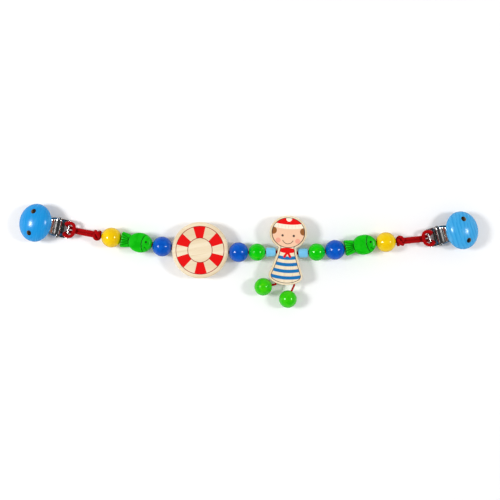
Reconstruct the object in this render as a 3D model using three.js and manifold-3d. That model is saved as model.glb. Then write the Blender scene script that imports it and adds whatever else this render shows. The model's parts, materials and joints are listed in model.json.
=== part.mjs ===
// Pram chain: wooden beads, two fish, a disc and a jointed doll threaded on one red cord, with a
// wooden-capped metal clip hitched to each end. Millimetres, +Z up, lying on a table at z = 0 with
// the cord along X. Every link turns a little about Z against the one before it.

import * as THREE from 'three';
import { mergeVertices } from 'three/addons/utils/BufferGeometryUtils.js';
import Module from 'manifold-3d';

const wasm = await Module();
wasm.setup();

// Cord and threading
const CORD_DIAMETER = 3.4;
const BORE_CLEARANCE = 0.5;
const COUNTERSINK = 1;
const BEAD_GAP = 0.9;
const ARM_GAP = 1.9;
const SEAT_GAP = 0.3;

// Balls and sleeves
const LARGE_BEAD_DIAMETER = 20;
const SMALL_BEAD_DIAMETER = 17.5;
const SLEEVE_DIAMETER = 9.3;
const SLEEVE_LENGTH = 9.6;
const SLEEVE_EDGE = 1;

// Fish
const FISH_LENGTH = 31.2;
const FISH_HEIGHT = 20;
const FISH_THICKNESS = 14;
const FISH_EDGE = 1.8;
const TAIL_LENGTH = 8.4;
const TAIL_HEIGHT = 16;
const TAIL_ROOT_HEIGHT = 12;
const TAIL_SWEEP = 0.3;

// Disc
const DISC_DIAMETER = 56.5;
const DISC_THICKNESS = 13;
const DISC_EDGE = 3;

// Doll: a board with a round head on a flared body
const DOLL_THICKNESS = 12;
const DOLL_EDGE = 1;
const HEAD_WIDTH = 37;
const HEAD_HEIGHT = 34;
const HEAD_RISE = 20;
const NECK_WIDTH = 17;
const SHOULDER_WIDTH = 19;
const HEM_WIDTH = 34;
const HEM_DROP = 26.5;
const HEM_CROWN = 6;
const HEM_CORNER = 4;
const SIDE_FLARE = 2.4;

// Legs of the doll
const LEG_BEAD_DIAMETER = 17.8;
const LEG_CORD_DIAMETER = 2;
const LEG_HOLE_DEPTH = 8;
const LEFT_LEG_LENGTH = 12.8;
const RIGHT_LEG_LENGTH = 15.2;
const LEG_SPREAD = 18.6;
const LEG_STUB = 1.6;
const LEG_BEND_GAP = 0.62;

// Knot and doubled cord between the last bead and the clip
const KNOT_CORD_DIAMETER = 2.5;
const KNOT_RADIUS = 3.15;
const KNOT_SWELL = 1.5;
const KNOT_STRETCH = 2.6;
const KNOT_GAP = 0.25;
const TETHER_LENGTH = 31;
const STRAND_SPACING = 3.9;

// Clip: sheet metal
const SHEET = 0.9;
const BEND = 1.5;
const BAR_DIAMETER = 2.2;
const PLATE_LENGTH = 47.5;
const PLATE_WIDTH = 18.6;
const SLOT_WIDTH = 15;
const SLOT_LENGTH = 6.2;
const RAMP_LENGTH = 8.6;
const JAW_WIDTH = 15;
const JAW_CORNER = 3.5;
const PIN_DIAMETER = 2.2;
const PIN_HEAD_DIAMETER = 3.6;
const PIN_HEAD_HEIGHT = 0.7;
const PIN_REACH = 10;
const PIN_HEIGHT = 5.5;
const EAR_RADIUS = 3.2;
const EAR_LENGTH = 6.4;
const FLAP_WIDTH = 13;
const FLAP_TIP = 14;
const FLAP_LIP = 1.8;
const FLAP_NECK = 14.5;

// Clip: jaw pad, cap and rivets
const PAD_LENGTH = 9;
const PAD_HEIGHT = 2.2;
const PAD_MARGIN = 1.2;
const TOOTH_COUNT = 5;
const TOOTH_HEIGHT = 0.9;
const DOME_WIDTH = 38.4;
const DOME_LENGTH = 33.6;
const DOME_HEIGHT = 13;
const DOME_RIM = 1.6;
const DOME_EDGE = 0.8;
const DOME_REACH = 32;
const DOME_TILT = THREE.MathUtils.degToRad(13);
const VENT_DIAMETER = 5;
const VENT_SPACING = 22;
const RIVET_DIAMETER = 2.2;
const RIVET_HEAD_DIAMETER = 4.4;
const RIVET_HEAD_HEIGHT = 0.9;
const RIVET_DEPTH = 6;
const RIVET_SPACING = 12;

// How each link lies, in degrees from the link before it, counted outward from the doll
const DOLL_HEADING = -3.5;
const LEFT_TURNS = [4.5, -1, 0, -4, -6, 0, 0, -0.5];
const RIGHT_TURNS = [6.5, 1, 5.5, 1, -8.5, 4];
const LEFT_CLIP_TURN = -1.5;
const RIGHT_CLIP_TURN = 8;
const LEFT_LEG_SWING = 75;
const RIGHT_LEG_SWING = 21;

// Facets
const ROUND = 18;
const FINE_ROUND = 32;
const SMALL_ROUND = 12;
const CORD_SIDES = 8;
const TETHER_STEPS = 60;
const KNOT_STEPS = 42;
const KNOT_SIDES = 6;

const AXIS_HEIGHT = LARGE_BEAD_DIAMETER / 2;
const BORE_RADIUS = CORD_DIAMETER / 2 + BORE_CLEARANCE;
const MOUTH_RADIUS = BORE_RADIUS + COUNTERSINK;
const KNOT_HALF = KNOT_STRETCH + KNOT_CORD_DIAMETER / 2;
const WRAP_RADIUS = BAR_DIAMETER / 2 + CORD_DIAMETER / 2 + BORE_CLEARANCE;
const BAR_HEIGHT = WRAP_RADIUS + CORD_DIAMETER / 2 + SEAT_GAP;

const paint = {
  yellow: new THREE.MeshStandardMaterial({ color: 0xecc516, roughness: 0.3 }),
  green: new THREE.MeshStandardMaterial({ color: 0x2bbb16, roughness: 0.3 }),
  blue: new THREE.MeshStandardMaterial({ color: 0x0c56af, roughness: 0.3 }),
  lightBlue: new THREE.MeshStandardMaterial({ color: 0x7dc4e3, roughness: 0.4 }),
  capBlue: new THREE.MeshStandardMaterial({ color: 0x3a9bd1, roughness: 0.3 }),
  wood: new THREE.MeshStandardMaterial({ color: 0xf0dfc0, roughness: 0.55 }),
  cord: new THREE.MeshStandardMaterial({ color: 0x9e1013, roughness: 0.8 }),
  steel: new THREE.MeshStandardMaterial({ color: 0xc8c8c8, roughness: 0.2, metalness: 1 }),
  pad: new THREE.MeshStandardMaterial({ color: 0xe9e7e0, roughness: 0.5 }),
};

// Solids for cuts and joins

function toSolid(geometry) {
  const bare = geometry.clone();
  bare.deleteAttribute('normal');
  bare.deleteAttribute('uv');
  const merged = mergeVertices(bare);
  const mesh = new wasm.Mesh({
    numProp: 3,
    vertProperties: new Float32Array(merged.attributes.position.array),
    triVerts: new Uint32Array(merged.index.array),
  });
  return new wasm.Manifold(mesh);
}

function toGeometry(solid) {
  const { vertProperties, triVerts } = solid.getMesh();
  const geometry = new THREE.BufferGeometry();
  geometry.setAttribute('position', new THREE.BufferAttribute(vertProperties, 3));
  geometry.setIndex(new THREE.BufferAttribute(triVerts, 1));
  geometry.computeVertexNormals();
  return geometry;
}

function cut(geometry, ...tools) {
  return toGeometry(tools.reduce((body, tool) => body.subtract(toSolid(tool)), toSolid(geometry)));
}

function join(...geometries) {
  return toGeometry(geometries.map(toSolid).reduce((body, next) => body.add(next)));
}

function common(a, b) {
  return toGeometry(toSolid(a).intersect(toSolid(b)));
}

// Rods along each axis, and profiles turned about X or Z

function rod(axis, radius, length, sides = SMALL_ROUND) {
  const geometry = new THREE.CylinderGeometry(radius, radius, length, sides);
  if (axis === 'x') geometry.rotateZ(-Math.PI / 2);
  if (axis === 'z') geometry.rotateX(Math.PI / 2);
  return geometry;
}

function turnedAboutX(profile, sides) {
  return new THREE.LatheGeometry(profile, sides).rotateZ(-Math.PI / 2);
}

function turnedAboutZ(profile, sides) {
  return new THREE.LatheGeometry(profile, sides).rotateX(Math.PI / 2);
}

function arc(centreX, centreY, radiusX, radiusY, from, to, steps) {
  return new THREE.EllipseCurve(centreX, centreY, radiusX, radiusY, from, to, to < from).getPoints(steps);
}

const point = (x, y) => new THREE.Vector2(x, y);

// A flat outline given a thickness and rounded edges, centred on z = 0
function board(shape, thickness, edge, edgeSteps, curveSteps) {
  const geometry = new THREE.ExtrudeGeometry(shape, {
    depth: thickness - 2 * edge,
    bevelThickness: edge,
    bevelSize: edge,
    bevelOffset: -edge,
    bevelSegments: edgeSteps,
    curveSegments: curveSteps,
  });
  return geometry.translate(0, 0, edge - thickness / 2);
}

// A side view drawn along X and up Z, drawn out across Y and centred on y = 0
function across(shape, width, curveSteps = 6) {
  const options = { depth: width, bevelEnabled: false, curveSegments: curveSteps };
  return new THREE.ExtrudeGeometry(shape, options).rotateX(Math.PI / 2).translate(0, width / 2, 0);
}

// A bent line of sheet metal seen from the side: the line moved half the thickness to either side
function sheetStrip(line) {
  const shifted = (side) => line.map((here, i) => {
    const before = line[Math.max(i - 1, 0)];
    const after = line[Math.min(i + 1, line.length - 1)];
    const along = after.clone().sub(before).normalize();
    return point(here.x - side * along.y * SHEET / 2, here.y + side * along.x * SHEET / 2);
  });
  return new THREE.Shape([...shifted(-1), ...shifted(1).reverse()]);
}

// Beads, sleeves and cord lengths

const ballLength = (diameter) => 2 * Math.sqrt((diameter / 2) ** 2 - MOUTH_RADIUS ** 2);

function ball(diameter) {
  const end = ballLength(diameter) / 2;
  const mouthAngle = Math.acos(MOUTH_RADIUS / (diameter / 2));
  const profile = [
    point(BORE_RADIUS, COUNTERSINK - end),
    ...arc(0, 0, diameter / 2, diameter / 2, -mouthAngle, mouthAngle, 8),
    point(BORE_RADIUS, end - COUNTERSINK),
    point(BORE_RADIUS, COUNTERSINK - end),
  ];
  return turnedAboutX(profile, ROUND);
}

function sleeve() {
  const end = SLEEVE_LENGTH / 2;
  const radius = SLEEVE_DIAMETER / 2;
  const edge = SLEEVE_EDGE;
  const profile = [
    point(BORE_RADIUS, -end),
    ...arc(radius - edge, edge - end, edge, edge, -Math.PI / 2, 0, 2),
    ...arc(radius - edge, end - edge, edge, edge, 0, Math.PI / 2, 2),
    point(BORE_RADIUS, end),
    point(BORE_RADIUS, -end),
  ];
  return turnedAboutX(profile, ROUND);
}

// A length of cord along X from one place to another, with round ends
function cordLength(from, to, diameter) {
  const r = diameter / 2;
  const profile = [
    ...arc(0, from + r, r, r, -Math.PI / 2, 0, 3),
    ...arc(0, to - r, r, r, 0, Math.PI / 2, 3),
  ];
  profile[0].x = 0;
  profile[profile.length - 1].x = 0;
  return turnedAboutX(profile, CORD_SIDES);
}

// Fish, disc and doll, each lying flat and bored along X

function fish() {
  const nose = FISH_LENGTH / 2;
  const root = TAIL_LENGTH - nose;
  const back = FISH_HEIGHT / 2;
  const fan = TAIL_HEIGHT / 2;
  const waist = TAIL_ROOT_HEIGHT / 2;
  const crown = (nose + root) / 2;
  const corner = -nose - TAIL_SWEEP;
  const shape = new THREE.Shape();
  shape.moveTo(nose, 0);
  shape.bezierCurveTo(nose, back / 2, (nose + crown) / 2, back, crown, back);
  shape.bezierCurveTo((crown + root) / 2, back, root, back * 0.8, root, waist);
  shape.quadraticCurveTo(root - TAIL_LENGTH / 3, fan, corner, fan);
  shape.quadraticCurveTo(TAIL_SWEEP - nose, 0, corner, -fan);
  shape.quadraticCurveTo(root - TAIL_LENGTH / 3, -fan, root, -waist);
  shape.bezierCurveTo(root, -back * 0.8, (crown + root) / 2, -back, crown, -back);
  shape.bezierCurveTo((nose + crown) / 2, -back, nose, -back / 2, nose, 0);
  const body = board(shape, FISH_THICKNESS, FISH_EDGE, 3, 5);
  return cut(body, rod('x', BORE_RADIUS, 2 * FISH_LENGTH));
}

function disc() {
  const radius = DISC_DIAMETER / 2;
  const half = DISC_THICKNESS / 2;
  const flat = radius - DISC_EDGE;
  const profile = [
    point(0, -half),
    ...arc(flat, DISC_EDGE - half, DISC_EDGE, DISC_EDGE, -Math.PI / 2, 0, 4),
    ...arc(flat, half - DISC_EDGE, DISC_EDGE, DISC_EDGE, 0, Math.PI / 2, 4),
    point(0, half),
  ];
  return cut(turnedAboutZ(profile, FINE_ROUND), rod('x', BORE_RADIUS, 2 * DISC_DIAMETER));
}

// Height of the doll's curved hem at a place across it
function hemHeight(x) {
  const halfWidth = HEM_WIDTH / 2;
  const radius = (halfWidth ** 2 + HEM_CROWN ** 2) / (2 * HEM_CROWN);
  return radius - HEM_DROP - HEM_CROWN - Math.sqrt(radius ** 2 - x ** 2);
}

function dollOutline() {
  const shoulder = SHOULDER_WIDTH / 2;
  const hem = HEM_WIDTH / 2;
  const neckAngle = Math.acos(NECK_WIDTH / HEAD_WIDTH);
  const neck = HEAD_RISE - HEAD_HEIGHT / 2 * Math.sin(neckAngle);
  const hemStart = hem - HEM_CORNER;
  const hemRadius = (hem ** 2 + HEM_CROWN ** 2) / (2 * HEM_CROWN);
  const hemCentre = hemRadius - HEM_DROP - HEM_CROWN;
  const hemAngle = Math.asin(hemStart / hemRadius);
  const down = -Math.PI / 2;
  const shape = new THREE.Shape();
  shape.moveTo(shoulder, 0);
  shape.quadraticCurveTo(shoulder, neck / 2, NECK_WIDTH / 2, neck);
  shape.absellipse(0, HEAD_RISE, HEAD_WIDTH / 2, HEAD_HEIGHT / 2, -neckAngle, Math.PI + neckAngle, false);
  shape.quadraticCurveTo(-shoulder, neck / 2, -shoulder, 0);
  shape.quadraticCurveTo(-shoulder - SIDE_FLARE, -HEM_DROP / 3, -hem, HEM_CORNER - HEM_DROP);
  shape.quadraticCurveTo(-hem, -HEM_DROP, -hemStart, hemHeight(hemStart));
  shape.absarc(0, hemCentre, hemRadius, down - hemAngle, down + hemAngle, false);
  shape.quadraticCurveTo(hem, -HEM_DROP, hem, HEM_CORNER - HEM_DROP);
  shape.quadraticCurveTo(shoulder + SIDE_FLARE, -HEM_DROP / 3, shoulder, 0);
  return shape;
}

function doll() {
  const body = board(dollOutline(), DOLL_THICKNESS, DOLL_EDGE, 2, 8);
  const legHoles = [-1, 1].map((side) => {
    const x = side * LEG_SPREAD / 2;
    const hole = rod('y', LEG_CORD_DIAMETER / 2 + SEAT_GAP, 2 * LEG_HOLE_DEPTH);
    return hole.translate(x, hemHeight(x), 0);
  });
  return cut(body, rod('x', BORE_RADIUS, 2 * HEM_WIDTH), ...legHoles);
}

// A foot: a ball with a blind hole that opens towards -X, as deep as its centre
function legBead() {
  const radius = LEG_BEAD_DIAMETER / 2;
  const hole = LEG_CORD_DIAMETER / 2 + SEAT_GAP;
  const profile = [
    point(0, SEAT_GAP),
    point(hole, SEAT_GAP),
    ...arc(0, 0, radius, radius, -Math.acos(hole / radius), Math.PI / 2, 9),
  ];
  profile[profile.length - 1].x = 0;
  return turnedAboutX(profile, ROUND);
}

// Knot: a cord that winds twice round the chain's axis and three times round its own ring
class KnotCurve extends THREE.Curve {
  getPoint(t, target = new THREE.Vector3()) {
    const turn = 4 * Math.PI * t;
    const weave = 6 * Math.PI * t;
    const radius = KNOT_RADIUS + KNOT_SWELL * Math.cos(weave);
    return target.set(KNOT_STRETCH * Math.sin(weave), radius * Math.cos(turn), radius * Math.sin(turn));
  }
}

function knot() {
  return new THREE.TubeGeometry(new KnotCurve(), KNOT_STEPS, KNOT_CORD_DIAMETER / 2, KNOT_SIDES, true);
}

// The doubled cord in the clip's frame: down from the knot, under the bar, up through the slot, back
// over the bar and round as an arch on top of its own two strands
function tether(knotPlace) {
  const lean = knotPlace.y / knotPlace.x;
  const r = CORD_DIAMETER / 2;
  const half = STRAND_SPACING / 2;
  const start = knotPlace.x + KNOT_HALF + SEAT_GAP;
  const top = BAR_HEIGHT + WRAP_RADIUS;
  const slant = WRAP_RADIUS * 0.72;
  const leg = [
    [start, half, AXIS_HEIGHT],
    [start + 0.22 * TETHER_LENGTH, half, 0.86 * AXIS_HEIGHT],
    [start + 0.48 * TETHER_LENGTH, half, 0.5 * AXIS_HEIGHT],
    [-6, half, BAR_HEIGHT - WRAP_RADIUS + 0.5],
    [0, half + 0.6, BAR_HEIGHT - WRAP_RADIUS],
    [slant, half + 1.6, BAR_HEIGHT - slant],
    [WRAP_RADIUS, half + 2.4, BAR_HEIGHT],
    [slant, half + 2.9, BAR_HEIGHT + slant],
    [0, half + 3.5, top],
    [-2.9, half + 4.2, top - 0.5],
    [-5.3, half + 2.6, top - 1.1],
  ];
  const side = (sign) => leg.map(([u, v, w]) => new THREE.Vector3(u, sign * v + lean * Math.min(u, 0), w));
  const arch = new THREE.Vector3(-6.2, -6.2 * lean, top - 1.3);
  const path = new THREE.CatmullRomCurve3([...side(1), arch, ...side(-1).reverse()]);
  const section = new THREE.Shape(arc(0, 0, r, r, 0, 2 * Math.PI, CORD_SIDES).slice(0, CORD_SIDES));
  return new THREE.ExtrudeGeometry(section, { steps: TETHER_STEPS, extrudePath: path });
}

// Clip pieces, in a frame with the cord bar above the origin, +X out to the jaw and z = 0 on the table

const PIN_HOLE = PIN_DIAMETER / 2 + SEAT_GAP;
const PAD_TOP = SHEET + SEAT_GAP + PAD_HEIGHT;
const FLAP_DEPTH = SEAT_GAP + SHEET / 2;
const LIP_DEPTH = FLAP_DEPTH + FLAP_LIP;
const LIP_REACH = FLAP_TIP * Math.sin(DOME_TILT) + (LIP_DEPTH + SHEET / 2) * Math.cos(DOME_TILT);
const DOME_LIFT = PAD_TOP + SEAT_GAP + LIP_REACH;

// A place given along and above the cap's tilted underside, in the clip's side view
function underCap(along, above) {
  const sin = Math.sin(DOME_TILT);
  const cos = Math.cos(DOME_TILT);
  return point(DOME_REACH + along * cos + above * sin, DOME_LIFT - along * sin + above * cos);
}

function roundedEnd(start, startWidth, waist, waistWidth, end, corner) {
  const shape = new THREE.Shape();
  shape.moveTo(start, -startWidth / 2);
  shape.lineTo(waist - (startWidth - waistWidth) * 2, -startWidth / 2);
  shape.lineTo(waist, -waistWidth / 2);
  shape.lineTo(end - corner, -waistWidth / 2);
  shape.absarc(end - corner, corner - waistWidth / 2, corner, -Math.PI / 2, 0, false);
  shape.absarc(end - corner, waistWidth / 2 - corner, corner, 0, Math.PI / 2, false);
  shape.lineTo(waist, waistWidth / 2);
  shape.lineTo(waist - (startWidth - waistWidth) * 2, startWidth / 2);
  shape.lineTo(start, startWidth / 2);
  return shape;
}

// A plan outline drawn up through the whole height of the clip
function upright(shape) {
  const height = 4 * DOME_HEIGHT;
  const options = { depth: height, bevelEnabled: false, curveSegments: 3 };
  return new THREE.ExtrudeGeometry(shape, options).translate(0, 0, -height / 4);
}

function backPlate() {
  const ramp = new THREE.Vector2(-RAMP_LENGTH, BAR_HEIGHT - SHEET / 2).normalize();
  const line = new THREE.Path();
  line.moveTo(PLATE_LENGTH, SHEET / 2);
  line.lineTo(RAMP_LENGTH + BEND, SHEET / 2);
  line.quadraticCurveTo(RAMP_LENGTH, SHEET / 2, RAMP_LENGTH + BEND * ramp.x, SHEET / 2 + BEND * ramp.y);
  line.lineTo(0, BAR_HEIGHT);
  const strip = across(sheetStrip(line.getPoints(3).reverse()), PLATE_WIDTH);
  const waist = PIN_REACH + EAR_LENGTH + 2 * (PLATE_WIDTH - JAW_WIDTH);
  const plan = roundedEnd(-SHEET, PLATE_WIDTH, waist, JAW_WIDTH, PLATE_LENGTH, JAW_CORNER);
  const slotEnd = -ramp.x * SLOT_LENGTH;
  const slotStart = BAR_DIAMETER / 4;
  const slot = new THREE.BoxGeometry(slotEnd - slotStart, SLOT_WIDTH, 4 * BAR_HEIGHT);
  slot.translate((slotStart + slotEnd) / 2, 0, 0);
  const sheet = cut(common(strip, upright(plan)), slot);
  const bar = rod('y', BAR_DIAMETER / 2, PLATE_WIDTH).translate(0, 0, BAR_HEIGHT);
  const ears = [-1, 1].map((side) => ear().translate(0, side * (PLATE_WIDTH - SHEET) / 2, 0));
  const pinHole = rod('y', PIN_HOLE, 2 * PLATE_WIDTH).translate(PIN_REACH, 0, PIN_HEIGHT);
  return cut(join(sheet, bar, ...ears), pinHole);
}

function ear() {
  const shape = new THREE.Shape();
  shape.moveTo(PIN_REACH - EAR_LENGTH / 4, 0);
  shape.lineTo(PIN_REACH + EAR_LENGTH * 3 / 4, 0);
  shape.absarc(PIN_REACH, PIN_HEIGHT, EAR_RADIUS, 0, Math.PI, false);
  return across(shape, SHEET, 8);
}

function flap() {
  const barrelRadius = PIN_HOLE + SHEET;
  const rollRadius = PIN_HOLE + SHEET / 2;
  const barrelWidth = PLATE_WIDTH - 2 * SHEET - 2 * SEAT_GAP;
  const neck = underCap(-FLAP_NECK, -FLAP_DEPTH);
  const neckBefore = underCap(BEND - FLAP_NECK, -FLAP_DEPTH);
  const roll = point(PIN_REACH, PIN_HEIGHT + rollRadius);
  const rollOut = point(PIN_REACH + rollRadius, PIN_HEIGHT + rollRadius);
  const neckAfter = neck.clone().lerp(rollOut, 0.3);
  const line = new THREE.Path();
  const lip = underCap(FLAP_TIP, -LIP_DEPTH);
  const tip = underCap(FLAP_TIP - SHEET, -FLAP_DEPTH);
  line.moveTo(lip.x, lip.y);
  line.lineTo(tip.x, tip.y);
  line.lineTo(neckBefore.x, neckBefore.y);
  line.quadraticCurveTo(neck.x, neck.y, neckAfter.x, neckAfter.y);
  const rollBefore = neck.clone().lerp(rollOut, 0.75);
  line.lineTo(rollBefore.x, rollBefore.y);
  line.quadraticCurveTo(rollOut.x, rollOut.y, roll.x, roll.y);
  const strip = across(sheetStrip(line.getPoints(4).reverse()), barrelWidth);
  const barrel = rod('y', barrelRadius, barrelWidth, ROUND).translate(PIN_REACH, 0, PIN_HEIGHT);
  const tipEnd = lip.x + SHEET;
  const start = PIN_REACH - 2 * barrelRadius;
  const plan = roundedEnd(start, barrelWidth, neckBefore.x, FLAP_WIDTH, tipEnd, JAW_CORNER);
  const pinHole = rod('y', PIN_HOLE, 2 * PLATE_WIDTH).translate(PIN_REACH, 0, PIN_HEIGHT);
  const rivetHoles = [-1, 1].map((side) => {
    const hole = rod('z', RIVET_DIAMETER / 2 + SEAT_GAP, 4 * SHEET, CORD_SIDES);
    const place = underCap(side * RIVET_SPACING / 2, -FLAP_DEPTH);
    return hole.rotateY(DOME_TILT).translate(place.x, 0, place.y);
  });
  return cut(common(join(strip, barrel), upright(plan)), pinHole, ...rivetHoles);
}

// An oval cap, flat below, with two vent holes and two blind holes for the rivets
function dome() {
  const radius = DOME_WIDTH / 2;
  const profile = [
    point(0, 0),
    point(radius - DOME_EDGE, 0),
    point(radius, DOME_EDGE),
    ...arc(0, DOME_RIM, radius, DOME_HEIGHT - DOME_RIM, 0, Math.PI / 2, 8),
  ];
  profile[profile.length - 1].x = 0;
  const vents = [-1, 1].map((side) => {
    return rod('z', VENT_DIAMETER / 2, 4 * DOME_HEIGHT).translate(0, side * VENT_SPACING / 2, 0);
  });
  const rivetHoles = [-1, 1].map((side) => {
    const hole = rod('z', RIVET_DIAMETER / 2 + SEAT_GAP, 2 * (RIVET_DEPTH + SEAT_GAP), CORD_SIDES);
    return hole.translate(side * RIVET_SPACING / 2, 0, 0);
  });
  const oval = turnedAboutZ(profile, FINE_ROUND).scale(DOME_LENGTH / DOME_WIDTH, 1, 1);
  return cut(oval, ...vents, ...rivetHoles);
}

function rivet() {
  const seat = -2 * SEAT_GAP - SHEET;
  const foot = seat - RIVET_HEAD_HEIGHT;
  const profile = [
    point(0, foot),
    point(RIVET_HEAD_DIAMETER / 2 - RIVET_HEAD_HEIGHT / 2, foot),
    point(RIVET_HEAD_DIAMETER / 2, foot + RIVET_HEAD_HEIGHT / 2),
    point(RIVET_HEAD_DIAMETER / 2, seat),
    point(RIVET_DIAMETER / 2, seat),
    point(RIVET_DIAMETER / 2, RIVET_DEPTH),
    point(0, RIVET_DEPTH),
  ];
  return turnedAboutZ(profile, SMALL_ROUND);
}

function hingePin() {
  const shank = PLATE_WIDTH / 2 + SEAT_GAP;
  const end = shank + PIN_HEAD_HEIGHT;
  const profile = [
    point(0, -end),
    point(PIN_HEAD_DIAMETER / 2, -end),
    point(PIN_HEAD_DIAMETER / 2, -shank),
    point(PIN_DIAMETER / 2, -shank),
    point(PIN_DIAMETER / 2, shank),
    point(PIN_HEAD_DIAMETER / 2, shank),
    point(PIN_HEAD_DIAMETER / 2, end),
    point(0, end),
  ];
  return new THREE.LatheGeometry(profile, SMALL_ROUND).translate(PIN_REACH, 0, PIN_HEIGHT);
}

// The pad's side view: a flat foot with a row of saw teeth on top
function jawPad() {
  const front = PLATE_LENGTH - PAD_MARGIN;
  const back = front - PAD_LENGTH;
  const foot = SHEET + SEAT_GAP;
  const pitch = PAD_LENGTH / TOOTH_COUNT;
  const shape = new THREE.Shape();
  shape.moveTo(back, foot);
  shape.lineTo(front, foot);
  for (let tooth = 0; tooth < TOOTH_COUNT; tooth += 1) {
    shape.lineTo(front - tooth * pitch, PAD_TOP - TOOTH_HEIGHT);
    shape.lineTo(front - (tooth + 0.6) * pitch, PAD_TOP);
  }
  shape.lineTo(back, PAD_TOP - TOOTH_HEIGHT);
  return across(shape, JAW_WIDTH - 2 * PAD_MARGIN);
}

// Assembly

function addMesh(parent, name, geometry, material) {
  const mesh = new THREE.Mesh(geometry, material);
  mesh.name = name;
  parent.add(mesh);
}

function turnedGroup(parent, name, x, y, degrees) {
  const group = new THREE.Group();
  group.name = name;
  group.position.set(x, y, 0);
  group.rotation.z = THREE.MathUtils.degToRad(degrees);
  parent.add(group);
  return group;
}

// One clip on its cord bar, with the doubled cord that holds it
function addClip(parent, side, name, barPlace, turn) {
  const heading = side > 0 ? turn : 180 + turn;
  const clip = turnedGroup(parent, `bar_${name}`, side * barPlace, 0, heading);
  clip.position.z = -AXIS_HEIGHT;
  const knotPlace = new THREE.Vector3(-side * TETHER_LENGTH, 0, 0);
  knotPlace.applyAxisAngle(new THREE.Vector3(0, 0, 1), -clip.rotation.z);
  addMesh(clip, `tether_${name}`, tether(knotPlace), paint.cord);
  addMesh(clip, `clip_back_plate_${name}`, backPlate(), paint.steel);
  addMesh(clip, `clip_hinge_pin_${name}`, hingePin(), paint.steel);
  addMesh(clip, `clip_jaw_pad_${name}`, jawPad(), paint.pad);
  addMesh(clip, `clip_flap_${name}`, flap(), paint.steel);
  const cap = new THREE.Group();
  cap.position.set(DOME_REACH, 0, DOME_LIFT);
  cap.rotation.y = DOME_TILT;
  clip.add(cap);
  addMesh(cap, `clip_dome_${name}`, dome(), paint.capBlue);
  addMesh(cap, `clip_rivet_inner_${name}`, rivet().translate(-RIVET_SPACING / 2, 0, 0), paint.steel);
  addMesh(cap, `clip_rivet_outer_${name}`, rivet().translate(RIVET_SPACING / 2, 0, 0), paint.steel);
}

// One half of the chain, from the doll outward: every link hangs in the frame of the one before it
function addHalf(middle, side, name, links, turns, clipTurn) {
  let frame = middle;
  let reach = SHOULDER_WIDTH / 2;
  let gap = ARM_GAP;
  links.forEach((link, i) => {
    const bend = turnedGroup(frame, `bend_${link.name}`, side * (reach + gap / 2), 0, turns[i]);
    frame = turnedGroup(bend, `spin_${link.name}`, side * (gap + link.length) / 2, 0, 0);
    addMesh(frame, link.name, link.make(), link.material);
    const inner = -(link.length + gap - SEAT_GAP) / 2;
    const outer = (link.length + BEAD_GAP - SEAT_GAP) / 2;
    const cord = side > 0 ? [inner, outer] : [-outer, -inner];
    addMesh(frame, `cord_${link.name}`, cordLength(...cord, CORD_DIAMETER), paint.cord);
    reach = link.length / 2;
    gap = BEAD_GAP;
  });
  const bend = turnedGroup(frame, `bend_tether_${name}`, side * (reach + gap / 2), 0, turns[links.length]);
  const knotPlace = KNOT_GAP + KNOT_HALF;
  addMesh(bend, `knot_${name}`, knot().translate(side * knotPlace, 0, 0), paint.cord);
  addClip(bend, side, name, knotPlace + TETHER_LENGTH, clipTurn);
}

function addLeg(middle, side, name, length, swing) {
  const x = side * LEG_SPREAD / 2;
  const hem = hemHeight(x);
  const stub = cordLength(SEAT_GAP - LEG_HOLE_DEPTH, LEG_STUB - SEAT_GAP, LEG_CORD_DIAMETER);
  addMesh(middle, `leg_root_${name}`, stub.rotateZ(-Math.PI / 2).translate(x, hem, 0), paint.cord);
  const leg = turnedGroup(middle, `leg_${name}`, x, hem - LEG_STUB, -90 - swing);
  addMesh(leg, `leg_cord_${name}`, cordLength(LEG_BEND_GAP, length, LEG_CORD_DIAMETER), paint.cord);
  addMesh(leg, `leg_bead_${name}`, legBead().translate(length, 0, 0), paint.green);
}

const large = (name, material) => ({
  name,
  material,
  length: ballLength(LARGE_BEAD_DIAMETER),
  make: () => ball(LARGE_BEAD_DIAMETER),
});
const small = (name) => ({
  name,
  material: paint.green,
  length: ballLength(SMALL_BEAD_DIAMETER),
  make: () => ball(SMALL_BEAD_DIAMETER),
});
const arm = (name) => ({ name, material: paint.lightBlue, length: SLEEVE_LENGTH, make: sleeve });
const swimmer = (name) => ({ name, material: paint.green, length: FISH_LENGTH, make: fish });

const leftLinks = [
  arm('sleeve_left'),
  small('green_bead_left'),
  large('blue_bead_middle', paint.blue),
  { name: 'lifebuoy_disc', material: paint.wood, length: DISC_DIAMETER, make: disc },
  large('blue_bead_left', paint.blue),
  swimmer('fish_left'),
  large('yellow_bead_left', paint.yellow),
];
const rightLinks = [
  arm('sleeve_right'),
  small('green_bead_right'),
  large('blue_bead_right', paint.blue),
  swimmer('fish_right'),
  large('yellow_bead_right', paint.yellow),
];

const pramChain = new THREE.Group();
const middle = turnedGroup(pramChain, 'spin_figure_board', 0, 0, DOLL_HEADING);
addMesh(middle, 'figure_board', doll(), paint.wood);
const dollCord = (SHOULDER_WIDTH + ARM_GAP - SEAT_GAP) / 2;
addMesh(middle, 'cord_figure_board', cordLength(-dollCord, dollCord, CORD_DIAMETER), paint.cord);
addLeg(middle, -1, 'left', LEFT_LEG_LENGTH, LEFT_LEG_SWING);
addLeg(middle, 1, 'right', RIGHT_LEG_LENGTH, RIGHT_LEG_SWING);
addHalf(middle, -1, 'left', leftLinks, LEFT_TURNS, LEFT_CLIP_TURN);
addHalf(middle, 1, 'right', rightLinks, RIGHT_TURNS, RIGHT_CLIP_TURN);

// The origin is under the middle of the whole chain, on the table
const extent = new THREE.Box3().setFromObject(pramChain, true);
const centre = extent.getCenter(new THREE.Vector3());
pramChain.position.set(-centre.x, -centre.y, -extent.min.z);
pramChain.updateMatrixWorld(true);

export default pramChain;
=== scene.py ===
import json
import math

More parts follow.
